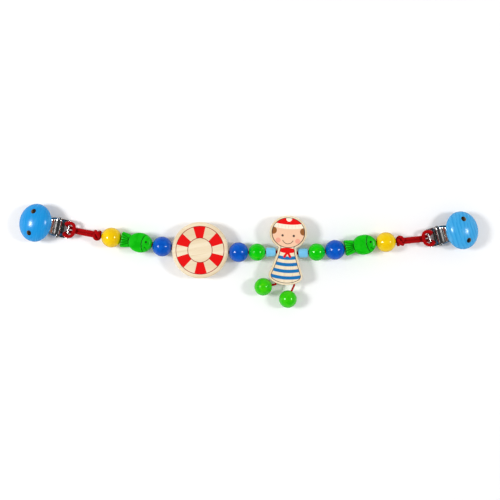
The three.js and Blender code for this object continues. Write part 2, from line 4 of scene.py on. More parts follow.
import bmesh
import bpy
import numpy as np
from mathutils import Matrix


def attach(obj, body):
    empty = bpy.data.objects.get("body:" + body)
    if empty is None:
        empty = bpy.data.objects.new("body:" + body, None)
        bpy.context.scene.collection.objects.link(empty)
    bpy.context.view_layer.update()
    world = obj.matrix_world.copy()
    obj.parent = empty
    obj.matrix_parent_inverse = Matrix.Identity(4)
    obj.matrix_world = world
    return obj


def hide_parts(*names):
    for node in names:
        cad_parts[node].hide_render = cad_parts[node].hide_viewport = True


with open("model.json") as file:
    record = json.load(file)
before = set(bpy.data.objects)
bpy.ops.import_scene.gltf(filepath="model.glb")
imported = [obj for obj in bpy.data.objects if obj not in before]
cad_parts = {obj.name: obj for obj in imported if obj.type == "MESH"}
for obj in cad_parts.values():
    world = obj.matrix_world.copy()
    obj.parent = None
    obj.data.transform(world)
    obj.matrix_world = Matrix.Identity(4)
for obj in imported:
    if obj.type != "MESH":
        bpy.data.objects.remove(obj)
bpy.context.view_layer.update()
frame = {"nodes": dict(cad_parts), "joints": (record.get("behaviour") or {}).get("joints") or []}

# Pram chain: looks for the beads, fish, disc, doll, cord and clips. Shapes are worked out in
# millimetres in each piece's own frame, then put in place in metres.

# General values: shading angles are in degrees, welds in metres, and FAR marks points outside a print
MM = 0.001
TAU = 2 * math.pi
QUARTER = math.pi / 2
FAR = 9.0
SHARP_ANGLE = 35
CORD_SHARP = 80
RELIEF_SHARP = 60
WELD_M = 2e-6
SLIVER_M = 1e-7
FACE_SLACK = 0.01

# Cord, bores, beads and sleeves, in millimetres as all sizes below
CORD_RADIUS = 1.7
CORD_STEP = 0.22
CORD_ROWS = 24
CORD_PITCH = 5.2
CROWN_POWER = 0.6
BORE_RADIUS = 2.2
MOUTH_RADIUS = 3.2
MOUTH_LIP = 0.18
MOUTH_SINK = 0.02
SINK_DEPTH = 0.85
SINK_FOOT = 1.1
LARGE_BEAD = 10.0
SMALL_BEAD = 8.75
SLEEVE_RADIUS = 4.65
SLEEVE_HALF = 4.8
SLEEVE_EDGE = 1.0
BEAD_GAP = 0.9
ARM_GAP = 1.9

# Fish: body, nose and tail
FISH_HALF = 15.6
FISH_BACK = 10.0
FISH_THICK = 7.0
EGG_SHIFT = 0.6
EGG_OVERLAP = 0.35
EGG_POWER = 2.2
EGG_FULLNESS = 0.62
NOSE_HALF = 4.0
NOSE_TAPER = 5.0
NOSE_LIP = 0.2
TAIL_ROOT = -7.2
TAIL_LAP = 1.6
TAIL_NECK = 5.7
TAIL_FAN = 8.0
TAIL_SPREAD = 9.0
TAIL_CURVE = 0.6
TAIL_CORNER = 1.6
TAIL_SWEEP = 0.3
TAIL_TAPER = 2.2
TAIL_THIN = 0.8
BORE_INSET = 0.3

# Fish: carved lines, each cut as a width and a depth, and the painted eye
STEP_CUT = (0.4, 0.45)
GILL_CUT = (0.38, 0.75)
LINE_CUT = (0.36, 0.6)
STEP_SHIFT = 0.4
STEP_BOW = 1.5
STEP_HALF = 6.0
STEP_SOFT = 0.16
TAIL_DROP = 0.75
TAIL_SLOPES = (-0.62, -0.31, 0.0, 0.31, 0.62)
FAN_POINT = 5.0
FAN_OPEN = 0.72
GILL_CENTRE = 20.5
GILL_RADIUS = 15.0
GILL_REACH = 8.6
FISH_SMILE = ((9.0, -3.6), (11.6, -6.0))
FISH_EYE = (9.9, 1.6)
FISH_EYE_RADIUS = 1.05
FACE_FADE = 0.6

# Disc and its printed ring
DISC_RADIUS = 28.25
DISC_HALF = 6.5
DISC_EDGE = 3.0
BORE_DENT = 3.0
DENT_REACH = 1.15
DENT_SOFT = 0.3
RING_OUTER = 24.0
RING_INNER = 12.2
RING_LINE = 0.32
RING_PARTS = 6
RING_TURN = math.radians(95.5)
DISC_GRAIN = math.radians(13)

# Doll's board
DOLL_HALF = 6.0
DOLL_EDGE = 1.0
HEAD_HALF_WIDTH = 18.5
HEAD_HALF_HEIGHT = 17.0
HEAD_RISE = 20.0
NECK_HALF = 8.5
SHOULDER = 9.5
SIDE_FLARE = 2.4
HEM = 17.0
HEM_DROP = 26.5
HEM_CROWN = 6.0
HEM_CORNER = 4.0
HEM_RADIUS = (HEM ** 2 + HEM_CROWN ** 2) / (2 * HEM_CROWN)
HEM_CENTRE = HEM_RADIUS - HEM_DROP - HEM_CROWN
SPINE_INSET = 3.0

# Doll's print: spots are a place to either side, a height and a radius
PRINT_BORDER = 1.9
LINE_INSET = 2.1
LINE_HALF = 0.28
BRIM_RISE = 23.6
BRIM_BOW = 0.008
BRIM_HEIGHT = 4.4
BRIM_LAP = 2.0
RIB_RATE = 0.92
RIB_SLOPE = 1.1
RIB_HALF = 0.16
RIB_INSET = 0.5
STRIPE_CENTRE = 34.0
STRIPE_START = 36.2
STRIPE_END = 66.2
STRIPE_PITCH = 6.6
STRIPE_GAP = 0.4
SCARF_HALF_WIDTH = 8.6
SCARF_HALF_HEIGHT = 2.7
SCARF_RISE = 2.2
SCARF_KNOT = (0.4, 0.6)
SCARF_ENDS = ((-2.6, -4.2), (3.2, -4.0))
SCARF_TAIL = 1.15
BOBBLE = (0.0, 34.0, 3.0)
HAIR = (15.2, 21.6, 3.6)
HAIR_LAP = 0.5
EYES = (5.6, 17.0, 1.15)
CHEEKS = (9.8, 12.0, 2.5)
SMILE = (0.0, 14.4, 5.6)
SMILE_HALF = 0.3
SMILE_TOP = 12.4

# Legs: for each the side of the doll, the swing in degrees and the length to the foot's middle
LEGS = {"left": (-1, 75, 12.8), "right": (1, 21, 15.2)}
LEG_SIDE = 9.3
LEG_BEAD = 8.9
LEG_CORD_RADIUS = 1.0
LEG_CORD_INSET = 0.1
LEG_STUB = 1.6
LEG_HOLE = 8.0
LEG_HOLE_GAP = 0.4
FOOT_HOLE_GAP = 0.3

# Knots and tethers
KNOT_RADIUS = 2.75
KNOT_SWELL = 1.5
KNOT_STRETCH = 2.4
KNOT_HALF = 3.85
KNOT_CORD = 1.65
KNOT_SHIFT = 0.45
KNOT_LAP = 1.2
TETHER_LENGTH = 31.0
STRAND_HALF = 1.62
BAR_HEIGHT = 5.3
WRAP_RADIUS = 3.3
AXIS_HEIGHT = 10.0

# Clips
DOME_RADIUS = 19.2
DOME_OVAL = 33.6 / 38.4
DOME_HEIGHT = 13.0
DOME_RIM = 1.6
DOME_REACH = 32.0
DOME_LIFT = 9.7712
DOME_TILT = math.radians(13)
FOOT_RING = 6.0
FOOT_EDGE = 0.9
PITH_REACH = 42.0
VENT_RADIUS = 2.5
VENT_OFFSET = 11.0
VENT_ROD = (-9, 30)
PIN_REACH = 10.0
PIN_HEIGHT = 5.5
PIN_RADIUS = 1.1
PIN_HEAD = 1.8
PIN_DOME = 0.7
PIN_SHANK = 9.6
SHEET = 0.9
ROLL_RADIUS = 1.85
ROLL_TURN = math.radians(280)
BARREL_HALF = 8.1
FLAP_HALF = 6.5
FLAP_CORNER = 3.5
FLAP_TIP = 14.0
FLAP_NECK = 14.5
FLAP_DEPTH = 0.75
FLAP_WIDEN = 6.4
NECK_FROM = 0.3
NECK_TO = 0.75
LIP_DEPTH = 2.55
LIP_BULGE = (0.3, 0.5)
BEND = 1.5
GROOVE_REACH = 14.6
GROOVE_DEPTH = 0.55
GROOVE_HALF = 1.3
BAR_RADIUS = 1.1
BAR_HALF = 9.3
BAR_SKIN = 0.06
BAR_EDGE = 0.3
PLATE_WELD = 0.01
PLATE_EDGE = 0.16
PLATE_ANGLE = 34

# Table, lamps (place and size in metres, power in watts), studio and camera
TABLE_HALF = 4.0
TABLE_DROP = 0.0002
TABLE_WHITE = (0.97, 0.97, 0.97, 1.0)
TABLE_MIRRORED = (0.45, 0.45, 0.45, 1.0)
LAMPS = {
    "lamp_left": ((-1.13, 0.05, 1.17), 0.34, 13.6),
    "lamp_right": ((1.13, 0.05, 1.17), 0.27, 8.2),
}
STUDIO_STRENGTH = 1.2
STUDIO_MIRRORED = 0.16
STUDIO_LOW = (1, 1, 1, 1)
STUDIO_HIGH = (0.26, 0.26, 0.27, 1)
STUDIO_TOP = 0.8
CAMERA_PLACE = (1.25 * MM, 5.9 * MM, 796 * MM)
LENS = 56.2

JOINT = {joint["name"]: joint for joint in frame["joints"]}


# Frames and meshes

def level_frame(place_m, along):
    """A frame at a place: x along a level direction, z up, y to the left of x; rows are the axes."""
    x = np.array([along[0], along[1], 0.0])
    x /= np.linalg.norm(x)
    z = np.array([0.0, 0.0, 1.0])
    return np.array(place_m) / MM, np.stack([x, np.cross(z, x), z])


def link_frame(link):
    """The frame of a threaded piece: at its middle, with x along the cord to the right."""
    joint = JOINT[f"{link}_spin"]
    return level_frame(joint["pos_m"], joint["axis"])


def put(local, where):
    """Points of a piece's own frame, in the shared frame, still in millimetres."""
    origin, axes = where
    return origin + local @ axes


def grid_faces(rows, cols, close_rows, close_cols):
    """Quads of a grid of points, joined up at the ends of its rows and columns where asked."""
    r0, c0 = np.meshgrid(
        np.arange(rows if close_rows else rows - 1),
        np.arange(cols if close_cols else cols - 1),
        indexing="ij",
    )
    r1 = (r0 + 1) % rows
    c1 = (c0 + 1) % cols
    return np.stack([r0 * cols + c0, r0 * cols + c1, r1 * cols + c1, r1 * cols + c0], -1).reshape(-1, 4)


def facing_out(points, faces):
    """The faces, turned round if the volume that they close comes out negative."""
    a, b, c, d = (points[faces[:, i]] for i in range(4))
    volume = np.einsum("ij,ij->i", a, np.cross(b, c)) + np.einsum("ij,ij->i", a, np.cross(c, d))
    return faces if volume.sum() > 0 else faces[:, ::-1]


def placed(shell, where):
    """A shell of a piece's own frame, in the shared frame."""
    points, faces = shell
    return put(points, where), faces


def heading(where):
    """The level angle of a frame's x axis."""
    along = where[1][0]
    return math.atan2(along[1], along[0])


def new_mesh(name, shell):
    """A mesh in metres from a shell in millimetres, with its faces turned outwards."""
    points, faces = shell
    mesh = bpy.data.meshes.new(name)
    mesh.from_pydata((points * MM).tolist(), [], facing_out(points, faces).tolist())
    return mesh


def shade(mesh, sharp):
    """Smooth shading, apart from edges that are sharper than an angle in degrees."""
    mesh.polygons.foreach_set("use_smooth", np.ones(len(mesh.polygons), bool))
    mesh.set_sharp_from_angle(angle=math.radians(sharp))


def add_piece(name, shell, material, body, nodes, marks=None, sharp=SHARP_ANGLE):
    """A piece from a shell in millimetres, with marks kept at its points, riding on a body."""
    mesh = new_mesh(name, shell)
    for mark, values in (marks or {}).items():
        layer = mesh.attributes.new(mark, "FLOAT", "POINT")
        layer.data.foreach_set("value", np.asarray(values, np.float32))
    work = bmesh.new()
    work.from_mesh(mesh)
    bmesh.ops.remove_doubles(work, verts=work.verts, dist=WELD_M)
    bmesh.ops.dissolve_degenerate(work, edges=work.edges, dist=SLIVER_M)
    work.to_mesh(mesh)
    work.free()
    shade(mesh, sharp)
    mesh.materials.append(material)
    piece = bpy.data.objects.new(name, mesh)
    bpy.context.collection.objects.link(piece)
    if nodes:
        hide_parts(*nodes)
    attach(piece, body)
    return piece


# Surfaces

def arc(cx, cy, rx, ry, start, stop, count):
    """Points of an ellipse between two angles."""
    angle = np.linspace(start, stop, count)
    return np.stack([cx + rx * np.cos(angle), cy + ry * np.sin(angle)], 1)


def revolved(profile, sides, axis, closed):
    """A profile of (radius, height) points turned about x or z; a closed one makes a ring."""
    radius, height = np.asarray(profile, float).T
    angle = np.arange(sides) * TAU / sides
    ring_a = radius[:, None] * np.cos(angle)
    ring_b = radius[:, None] * np.sin(angle)
    level = np.repeat(height[:, None], sides, 1)
    order = (level, ring_a, ring_b) if axis == "x" else (ring_a, ring_b, level)
    points = np.stack(order, -1).reshape(-1, 3)
    return points, grid_faces(len(radius), sides, closed, True)


def rounded_rim(radius, half, edge, count):
    """The rim of a turned piece from its lower face to its upper one, with a quarter circle at each."""
    lower = arc(radius - edge, edge - half, edge, edge, -QUARTER, 0, count)
    return np.vstack([lower, lower[::-1] * (1, -1)])


def eased(share):
    """A quarter circle's rise from 0 to 1, steep at first and level at the end."""
    return np.sqrt(1 - (1 - share) ** 2)


def bend_curve(start, control, end, count=24):
    """A quadratic curve from a start to an end, drawn towards a control point."""
    t = np.linspace(0, 1, count)[:, None]
    return (1 - t) ** 2 * np.array(start) + 2 * t * (1 - t) * np.array(control) + t ** 2 * np.array(end)


def walked(path):
    """The length along a path up to each of its points."""
    return np.concatenate([[0], np.cumsum(np.linalg.norm(np.diff(path, axis=0), axis=1))])


def even_path(fine, count):
    """A dense line sampled again at even steps along its length."""
    along = walked(fine)
    want = np.linspace(0, along[-1], count)
    return np.stack([np.interp(want, along, column) for column in fine.T], 1)


def smooth_path(route, count):
    """A smooth curve through a few points: a Catmull-Rom spline sampled evenly along its length."""
    route = np.asarray(route, float)
    padded = np.vstack([2 * route[0] - route[1], route, 2 * route[-1] - route[-2]])
    spans = len(route) - 1
    where = np.linspace(0, spans - 1e-9, 40 * spans)
    k = where.astype(int)
    t = (where - k)[:, None]
    p0, p1, p2, p3 = (padded[k + i] for i in range(4))
    fine = 0.5 * (2 * p1 + (p2 - p0) * t + (2 * p0 - 5 * p1 + 4 * p2 - p3) * t ** 2
                  + (3 * p1 - p0 - 3 * p2 + p3) * t ** 3)
    return even_path(fine, count)


def path_frames(path, closed):
    """Unit tangents and two normals along a path, carried on with as little twist as can be."""
    ends = np.roll(path, -1, 0) - np.roll(path, 1, 0)
    if not closed:
        ends[0] = path[1] - path[0]
        ends[-1] = path[-1] - path[-2]
    tangent = ends / np.linalg.norm(ends, axis=1, keepdims=True)
    first = np.cross(tangent[0], [0.0, 0.0, 1.0])
    normal = np.empty_like(path)
    normal[0] = first / np.linalg.norm(first)
    for i in range(1, len(path)):
        carried = normal[i - 1] - tangent[i] * (normal[i - 1] @ tangent[i])
        normal[i] = carried / np.linalg.norm(carried)
    if closed:
        side = np.cross(tangent[0], normal[0])
        slip = math.atan2(normal[-1] @ side, normal[-1] @ normal[0])
        turn = -slip * np.arange(len(path))[:, None] / len(path)
        normal = normal * np.cos(turn) + np.cross(tangent, normal) * np.sin(turn)
    return tangent, normal, np.cross(tangent, normal)


def braided(path, radius, closed=False, sides=40, strands=8, pitch=9.0, depth=0.09):
    """A braided cord along a path: a round tube whose radius swells where strands of two opposite
    helices pass over each other, with rounded ends; the mark says how high on a crown a point lies."""
    length = walked(path)
    tangent, normal, side = path_frames(path, closed)
    angle = np.arange(sides) * TAU / sides
    half = strands / 2
    right = half * (angle[None, :] + TAU * length[:, None] / (pitch * half))
    left = half * (angle[None, :] - TAU * length[:, None] / (pitch * half))
    crown = np.abs(np.sin(right) * np.sin(left)) ** CROWN_POWER
    swell = radius * (1 - depth) + radius * depth * crown
    if not closed:
        inset = np.minimum(length, length[-1] - length)
        swell = swell * eased(np.clip(inset / radius, 0, 1))[:, None]
    ring = normal[:, None, :] * np.cos(angle)[None, :, None] + side[:, None, :] * np.sin(angle)[None, :, None]
    points = (path[:, None, :] + ring * swell[:, :, None]).reshape(-1, 3)
    return (points, grid_faces(len(path), sides, closed, True)), crown.reshape(-1)


def straight_cord(start, end, radius):
    """A straight braided length along x."""
    count = max(int((end - start) / CORD_STEP), CORD_ROWS)
    path = np.stack([np.linspace(start, end, count), np.zeros(count), np.zeros(count)], 1)
    return braided(path, radius, sides=28, pitch=CORD_PITCH * radius)


# Materials

def srgb(red, green, blue):
    """A colour given in 0 to 255 screen values, as linear values with alpha."""
    values = np.array([red, green, blue]) / 255
    linear = np.where(values <= 0.04045, values / 12.92, ((values + 0.055) / 1.055) ** 2.4)
    return (*linear.tolist(), 1.0)


class Finish:
    """A new material and short ways to add and link the nodes that its colour and bump come from."""

    def __init__(self, name, **sockets):
        self.material = bpy.data.materials.new(name)
        self.material.use_nodes = True
        self.tree = self.material.node_tree
        self.shader = self.tree.nodes["Principled BSDF"]
        for socket, value in sockets.items():
            self.shader.inputs[socket.replace("_", " ")].default_value = value

    def node(self, kind, **settings):
        new = self.tree.nodes.new(kind)
        for key, value in settings.items():
            setattr(new, key, value)
        return new

    def link(self, source, target):
        self.tree.links.new(source, target)

    def coordinates(self, origin_mm=(0, 0, 0), angle=0.0, scale=(1, 1, 1)):
        """Object coordinates centred on a place, turned about z and stretched."""
        where = self.node("ShaderNodeTexCoord").outputs["Object"]
        centre = self.node("ShaderNodeMapping", vector_type="TEXTURE")
        centre.inputs["Location"].default_value = [v * MM for v in origin_mm]
        centre.inputs["Rotation"].default_value = (0, 0, angle)
        self.link(where, centre.inputs["Vector"])
        stretch = self.node("ShaderNodeMapping", vector_type="POINT")
        stretch.inputs["Scale"].default_value = scale
        self.link(centre.outputs["Vector"], stretch.inputs["Vector"])
        return stretch.outputs["Vector"]

    def noise(self, vector, scale=1.0, detail=3.0, rough=0.5, warp=0.0):
        texture = self.node("ShaderNodeTexNoise")
        texture.inputs["Scale"].default_value = scale
        texture.inputs["Detail"].default_value = detail
        texture.inputs["Roughness"].default_value = rough
        texture.inputs["Distortion"].default_value = warp
        self.link(vector, texture.inputs["Vector"])
        return texture.outputs["Fac"]

    def spread(self, value, low, high, to_low=0.0, to_high=1.0):
        """A value between two limits, spread out smoothly between two others."""
        remap = self.node("ShaderNodeMapRange", interpolation_type="SMOOTHSTEP")
        remap.inputs["From Min"].default_value = low
        remap.inputs["From Max"].default_value = high
        remap.inputs["To Min"].default_value = to_low
        remap.inputs["To Max"].default_value = to_high
        self.link(value, remap.inputs["Value"])
        return remap.outputs["Result"]

    def mark(self, name):
        return self.node("ShaderNodeAttribute", attribute_name=name).outputs["Fac"]

    def mix(self, factor, first, second):
        """One colour over another; each is a colour or the output of a node. The sockets of a colour
        mix share their names with other kinds, so they are picked by number."""
        blend = self.node("ShaderNodeMix", data_type="RGBA")
        self.link(factor, blend.inputs[0])
        for socket, colour in ((blend.inputs[6], first), (blend.inputs[7], second)):
            if isinstance(colour, tuple):
                socket.default_value = colour
            else:
                self.link(colour, socket)
        return blend.outputs[2]

    def colour(self, source):
        self.link(source, self.shader.inputs["Base Color"])

    def roughness(self, value, low, high):
        """Roughness that follows the middle range of a noise."""
        self.link(self.spread(value, 0.3, 0.7, low, high), self.shader.inputs["Roughness"])

    def bump(self, height, distance_mm, strength=1.0):
        relief = self.node("ShaderNodeBump")
        relief.inputs["Distance"].default_value = distance_mm * MM
        relief.inputs["Strength"].default_value = strength
        self.link(height, relief.inputs["Height"])
        self.link(relief.outputs["Normal"], self.shader.inputs["Normal"])


def ball_paint(name, colour, lighter, deeper):
    """Gloss paint over wood: soft patches where the coat is thin, faint brushed grain and gloss change."""
    paint = Finish(name, Roughness=0.3, Specular_IOR_Level=0.06, Coat_Weight=0.8, Coat_Roughness=0.1)
    patches = paint.noise(paint.coordinates(), 160.0, rough=0.55, warp=0.6)
    grain = paint.noise(paint.coordinates(scale=(60, 60, 520)), detail=4.0, rough=0.6, warp=0.3)
    tone = paint.mix(paint.spread(patches, 0.3, 0.7), deeper, colour)
    tone = paint.mix(paint.spread(grain, 0.56, 0.8, 0.0, 0.55), tone, lighter)
    paint.colour(tone)
    paint.roughness(patches, 0.24, 0.36)
    paint.bump(grain, 0.03, 0.4)
    return paint.material


def fish_paint():
    """Green gloss paint, with painted shade that darkens the carved lines, and a black painted eye."""
    paint = Finish("fish_paint", Roughness=0.3, Specular_IOR_Level=0.2)
    patches = paint.noise(paint.coordinates(), 140.0, rough=0.55, warp=0.6)
    grain = paint.noise(paint.coordinates(scale=(40, 420, 420)), detail=4.0, rough=0.6, warp=0.3)
    tone = paint.mix(paint.spread(patches, 0.3, 0.7), srgb(4, 176, 4), srgb(14, 196, 8))
    tone = paint.mix(paint.spread(grain, 0.56, 0.8, 0.0, 0.35), tone, srgb(40, 206, 24))
    # painted shade: the carved lines are darkened towards deep green by their depth
    tone = paint.mix(paint.spread(paint.mark("cut"), 0.1, 0.5, 0.0, 0.95), tone, srgb(4, 74, 8))
    tone = paint.mix(paint.spread(paint.mark("eye"), -0.1, 0.1, 1.0, 0.0), tone, srgb(16, 22, 14))
    paint.colour(tone)
    paint.roughness(patches, 0.24, 0.36)
    paint.bump(grain, 0.05, 0.5)
    return paint.material


def wood_tone(finish, origin, angle, pale, dark):
    """Pale close-grained wood: long fine fibres along x with slow streaks and short dark pores."""
    fine, slow, short = ((22, 620, 620), (6, 90, 90), (140, 2600, 2600))
    fibres = finish.noise(finish.coordinates(origin, angle, fine), detail=6.0, rough=0.65, warp=0.4)
    streaks = finish.noise(finish.coordinates(origin, angle, slow), warp=0.8)
    pores = finish.noise(finish.coordinates(origin, angle, short), detail=2.0)
    tone = finish.mix(finish.spread(streaks, 0.3, 0.75, 0.0, 0.55), pale, dark)
    tone = finish.mix(finish.spread(fibres, 0.5, 0.82, 0.0, 0.75), tone, dark)
    tone = finish.mix(finish.spread(pores, 0.62, 0.8, 0.0, 0.5), tone, srgb(196, 160, 112))
    return tone, fibres


def printed_wood(name, where, layers, turn):
    """Natural wood with a print: each layer covers the one before where its mark is below zero."""
    wood = Finish(name, Roughness=0.5, Specular_IOR_Level=0.15)
    tone, fibres = wood_tone(wood, where[0], heading(where) + turn, srgb(242, 227, 197), srgb(212, 182, 134))
    for mark, ink in layers:
        covered = wood.spread(wood.mark(mark), -0.09, 0.09, 1.0, 0.0)
        worn = wood.node("ShaderNodeMath", operation="MULTIPLY")
        wood.link(covered, worn.inputs[0])
        wood.link(wood.spread(fibres, 0.35, 0.8, 1.0, 0.996), worn.inputs[1])
        tone = wood.mix(worn.outputs[0], tone, ink)
    wood.colour(tone)
    wood.roughness(fibres, 0.42, 0.58)
    wood.bump(fibres, 0.06, 0.5)
    return wood.material


def stained_cap(name, origin, angle, depth, colour, deep, pale):
    """Blue stain under lacquer on end grain: curved growth rings about a far pith, and streaks."""
    cap = Finish(name, Roughness=0.24, Specular_IOR_Level=0.4, Coat_Weight=0.15, Coat_Roughness=0.1)
    rings = cap.node("ShaderNodeTexWave", wave_type="RINGS", rings_direction="Z", wave_profile="SAW")
    rings.inputs["Scale"].default_value = 90.0
    rings.inputs["Distortion"].default_value = 2.2
    rings.inputs["Detail"].default_value = 3.0
    rings.inputs["Detail Scale"].default_value = 1.2
    pith = (origin[0] + PITH_REACH * math.cos(angle), origin[1] + PITH_REACH * math.sin(angle), 0)
    cap.link(cap.coordinates(pith, angle), rings.inputs["Vector"])
    streaks = cap.noise(cap.coordinates(origin, angle, (380, 60, 60)), detail=4.0, rough=0.6, warp=0.4)
    tone = cap.mix(cap.spread(rings.outputs["Fac"], 0.35, 0.95, 0.0, depth), colour, deep)
    tone = cap.mix(cap.spread(streaks, 0.5, 0.8, 0.0, 0.5), tone, pale)
    cap.colour(tone)
    cap.roughness(streaks, 0.2, 0.3)
    cap.bump(streaks, 0.02, 0.3)
    return cap.material


def cord_red():
    """Dyed braided cord: painted shade deep in the crossings between the strands, brighter on the crowns,
    fine fibre fuzz.
    """
    cord = Finish("red_cord", Roughness=0.8, Specular_IOR_Level=0.06, Sheen_Weight=0.02, Sheen_Roughness=0.5)
    fuzz = cord.noise(cord.coordinates(), 2600.0, rough=0.6)
    # painted shade: the crossings get a deep red and the crowns the full red, by how high each point lies on
    # a crown
    tone = cord.mix(cord.spread(cord.mark("crown"), 0.1, 0.85), srgb(110, 0, 2), srgb(188, 2, 8))
    tone = cord.mix(cord.spread(fuzz, 0.4, 0.75, 0.0, 0.45), tone, srgb(204, 10, 16))
    cord.colour(tone)
    cord.bump(fuzz, 0.12, 0.6)
    return cord.material


def nickel_plate():
    """Bright plated sheet: faint rolling lines and fingerprints in the gloss."""
    metal = Finish("nickel_plate", Metallic=1.0, Roughness=0.16)
    lines = metal.noise(metal.coordinates(scale=(300, 2200, 300)), rough=0.6)
    smears = metal.noise(metal.coordinates(), 260.0, warp=0.5)
    metal.colour(metal.mix(metal.spread(smears, 0.3, 0.75), srgb(218, 216, 214), srgb(186, 184, 183)))
    metal.roughness(smears, 0.13, 0.21)
    metal.bump(lines, 0.002, 0.15)
    return metal.material


def jaw_plastic():
    """Milky moulded plastic with a fine spark-eroded grain."""
    plastic = Finish("jaw_plastic", Roughness=0.45, Subsurface_Weight=0.1)
    grain = plastic.noise(plastic.coordinates(), 1500.0, rough=0.6)
    plastic.colour(plastic.mix(plastic.spread(grain, 0.3, 0.7), srgb(236, 234, 226), srgb(222, 219, 208)))
    plastic.bump(grain, 0.04, 0.5)
    return plastic.material


def shaded_bare_wood():
    """Unstained end grain inside the cap's holes, with painted shade: its tones are kept dark because the
    holes are deep.
    """
    wood = Finish("shaded_bare_wood", Roughness=0.6, Specular_IOR_Level=0.2)
    # painted shade: both wood tones are far darker than the pale wood outside, for the shade inside the deep
    # holes
    tone, fibres = wood_tone(wood, (0, 0, 0), 0.0, srgb(150, 126, 94), srgb(112, 88, 60))
    wood.colour(tone)
    wood.bump(fibres, 0.06, 0.5)
    return wood.material


BARE_SHADED = shaded_bare_wood()
YELLOW = ball_paint("yellow_paint", srgb(244, 206, 2), srgb(250, 216, 22), srgb(234, 188, 0))
BLUE = ball_paint("blue_paint", srgb(0, 92, 200), srgb(20, 116, 214), srgb(0, 74, 176))
GREEN = ball_paint("green_paint", srgb(10, 208, 2), srgb(100, 224, 12), srgb(2, 192, 1))
FOOT_GREEN = ball_paint("foot_green_paint", srgb(64, 208, 4), srgb(146, 228, 26), srgb(34, 196, 2))
SKY = ball_paint("light_blue_paint", srgb(126, 203, 240), srgb(158, 218, 246), srgb(112, 190, 232))
RED_CORD = cord_red()
NICKEL = nickel_plate()
JAW = jaw_plastic()
FISH_GREEN = fish_paint()
BUOY_LAYERS = [("red", srgb(228, 2, 3)), ("line", srgb(150, 16, 18))]
DOLL_LAYERS = [
    ("stripe", srgb(20, 112, 176)),
    ("scarf", srgb(226, 8, 8)),
    ("skin", srgb(244, 198, 164)),
    ("cheek", srgb(240, 164, 140)),
    ("hair", srgb(150, 92, 46)),
    ("cap", srgb(232, 6, 6)),
    ("brim", srgb(246, 236, 212)),
    ("rib", srgb(222, 204, 170)),
    ("bobble", srgb(246, 236, 212)),
    ("dark", srgb(62, 46, 44)),
]
CAPS = {
    "left": (0.3, srgb(24, 148, 220), srgb(8, 128, 206), srgb(60, 172, 232)),
    "right": (0.62, srgb(60, 168, 228), srgb(26, 140, 208), srgb(100, 190, 238)),
}


# Balls and sleeves

def ball_shell(radius):
    """A ball turned about its bore: the sphere between the mouths, a countersink and the bore wall."""
    end = math.sqrt(radius ** 2 - MOUTH_RADIUS ** 2)
    mouth = math.acos(MOUTH_RADIUS / radius)
    outside = arc(0, 0, radius, radius, -mouth, mouth, 61)
    wall = np.array([
        (MOUTH_RADIUS - MOUTH_LIP, end - MOUTH_SINK),
        (BORE_RADIUS + MOUTH_LIP, end - SINK_DEPTH),
        (BORE_RADIUS, end - SINK_FOOT),
    ])
    return revolved(np.vstack([outside, wall, wall[::-1] * (1, -1)]), 96, "x", True)


def sleeve_shell():
    """A short turned sleeve: a cylinder with rounded edges and a bore."""
    profile = np.vstack([
        [(BORE_RADIUS, -SLEEVE_HALF)],
        rounded_rim(SLEEVE_RADIUS, SLEEVE_HALF, SLEEVE_EDGE, 9),
        [(BORE_RADIUS, SLEEVE_HALF)],
    ])
    return revolved(profile, 72, "x", True)


BALLS = {
    "yellow_bead_left": (LARGE_BEAD, YELLOW, "yellow_paint"),
    "blue_bead_left": (LARGE_BEAD, BLUE, "blue_paint"),
    "blue_bead_middle": (LARGE_BEAD, BLUE, "blue_paint"),
    "green_bead_left": (SMALL_BEAD, GREEN, "green_paint"),
    "green_bead_right": (SMALL_BEAD, GREEN, "green_paint"),
    "blue_bead_right": (LARGE_BEAD, BLUE, "blue_paint"),
    "yellow_bead_right": (LARGE_BEAD, YELLOW, "yellow_paint"),
}


def add_beads():
    """The painted balls and the doll's two sleeves."""
    for link, (radius, paint, slot) in BALLS.items():
        add_piece(f"{link}_turned", placed(ball_shell(radius), link_frame(link)), paint, link, [link])
    for link in ("sleeve_left", "sleeve_right"):
        shell = placed(sleeve_shell(), link_frame(link))
        add_piece(f"{link}_turned", shell, SKY, link, [link])


# Fish

def groove(distance, width, depth):
    """A carved line: a smooth valley of a depth, falling off over a width."""
    return depth * np.exp(-(distance / width) ** 2)


def segment_distance(x, y, start, end):
    """Distance from points to a straight segment."""
    dx, dy = end[0] - start[0], end[1] - start[1]
    t = np.clip(((x - start[0]) * dx + (y - start[1]) * dy) / (dx * dx + dy * dy), 0, 1)
    return np.hypot(x - start[0] - t * dx, y - start[1] - t * dy)


def fish_half_height(x):
    """Half height of the fish along its length: an egg-shaped body, and a tail that fans out behind it."""
    middle = (FISH_HALF + TAIL_ROOT) / 2 - EGG_SHIFT
    reach = FISH_HALF - middle + EGG_OVERLAP
    egg = np.clip(1 - (np.abs(x - middle) / reach) ** EGG_POWER, 0, 1) ** EGG_FULLNESS
    behind = np.clip((TAIL_ROOT + TAIL_LAP - x) / TAIL_SPREAD, 0, 1)
    fan = TAIL_NECK + (TAIL_FAN - TAIL_NECK) * behind ** TAIL_CURVE
    corner = np.clip((x + FISH_HALF) / TAIL_CORNER, 0, 1)
    fan = fan - TAIL_CORNER * (1 - eased(corner))
    return np.maximum(FISH_BACK * egg, np.where(x < TAIL_ROOT + TAIL_LAP, fan, MOUTH_RADIUS - NOSE_LIP))


def fish_half_thickness(x):
    """Half thickness: full over the body, rounded down to the nose and the end of the tail."""
    nose = eased(np.clip((FISH_HALF - x) / NOSE_TAPER, 0, 1))
    tail = eased(np.clip((x + FISH_HALF) / TAIL_TAPER, 0, 1))
    return (NOSE_HALF + (FISH_THICK - NOSE_HALF) * nose) * (TAIL_THIN + (1 - TAIL_THIN) * tail)


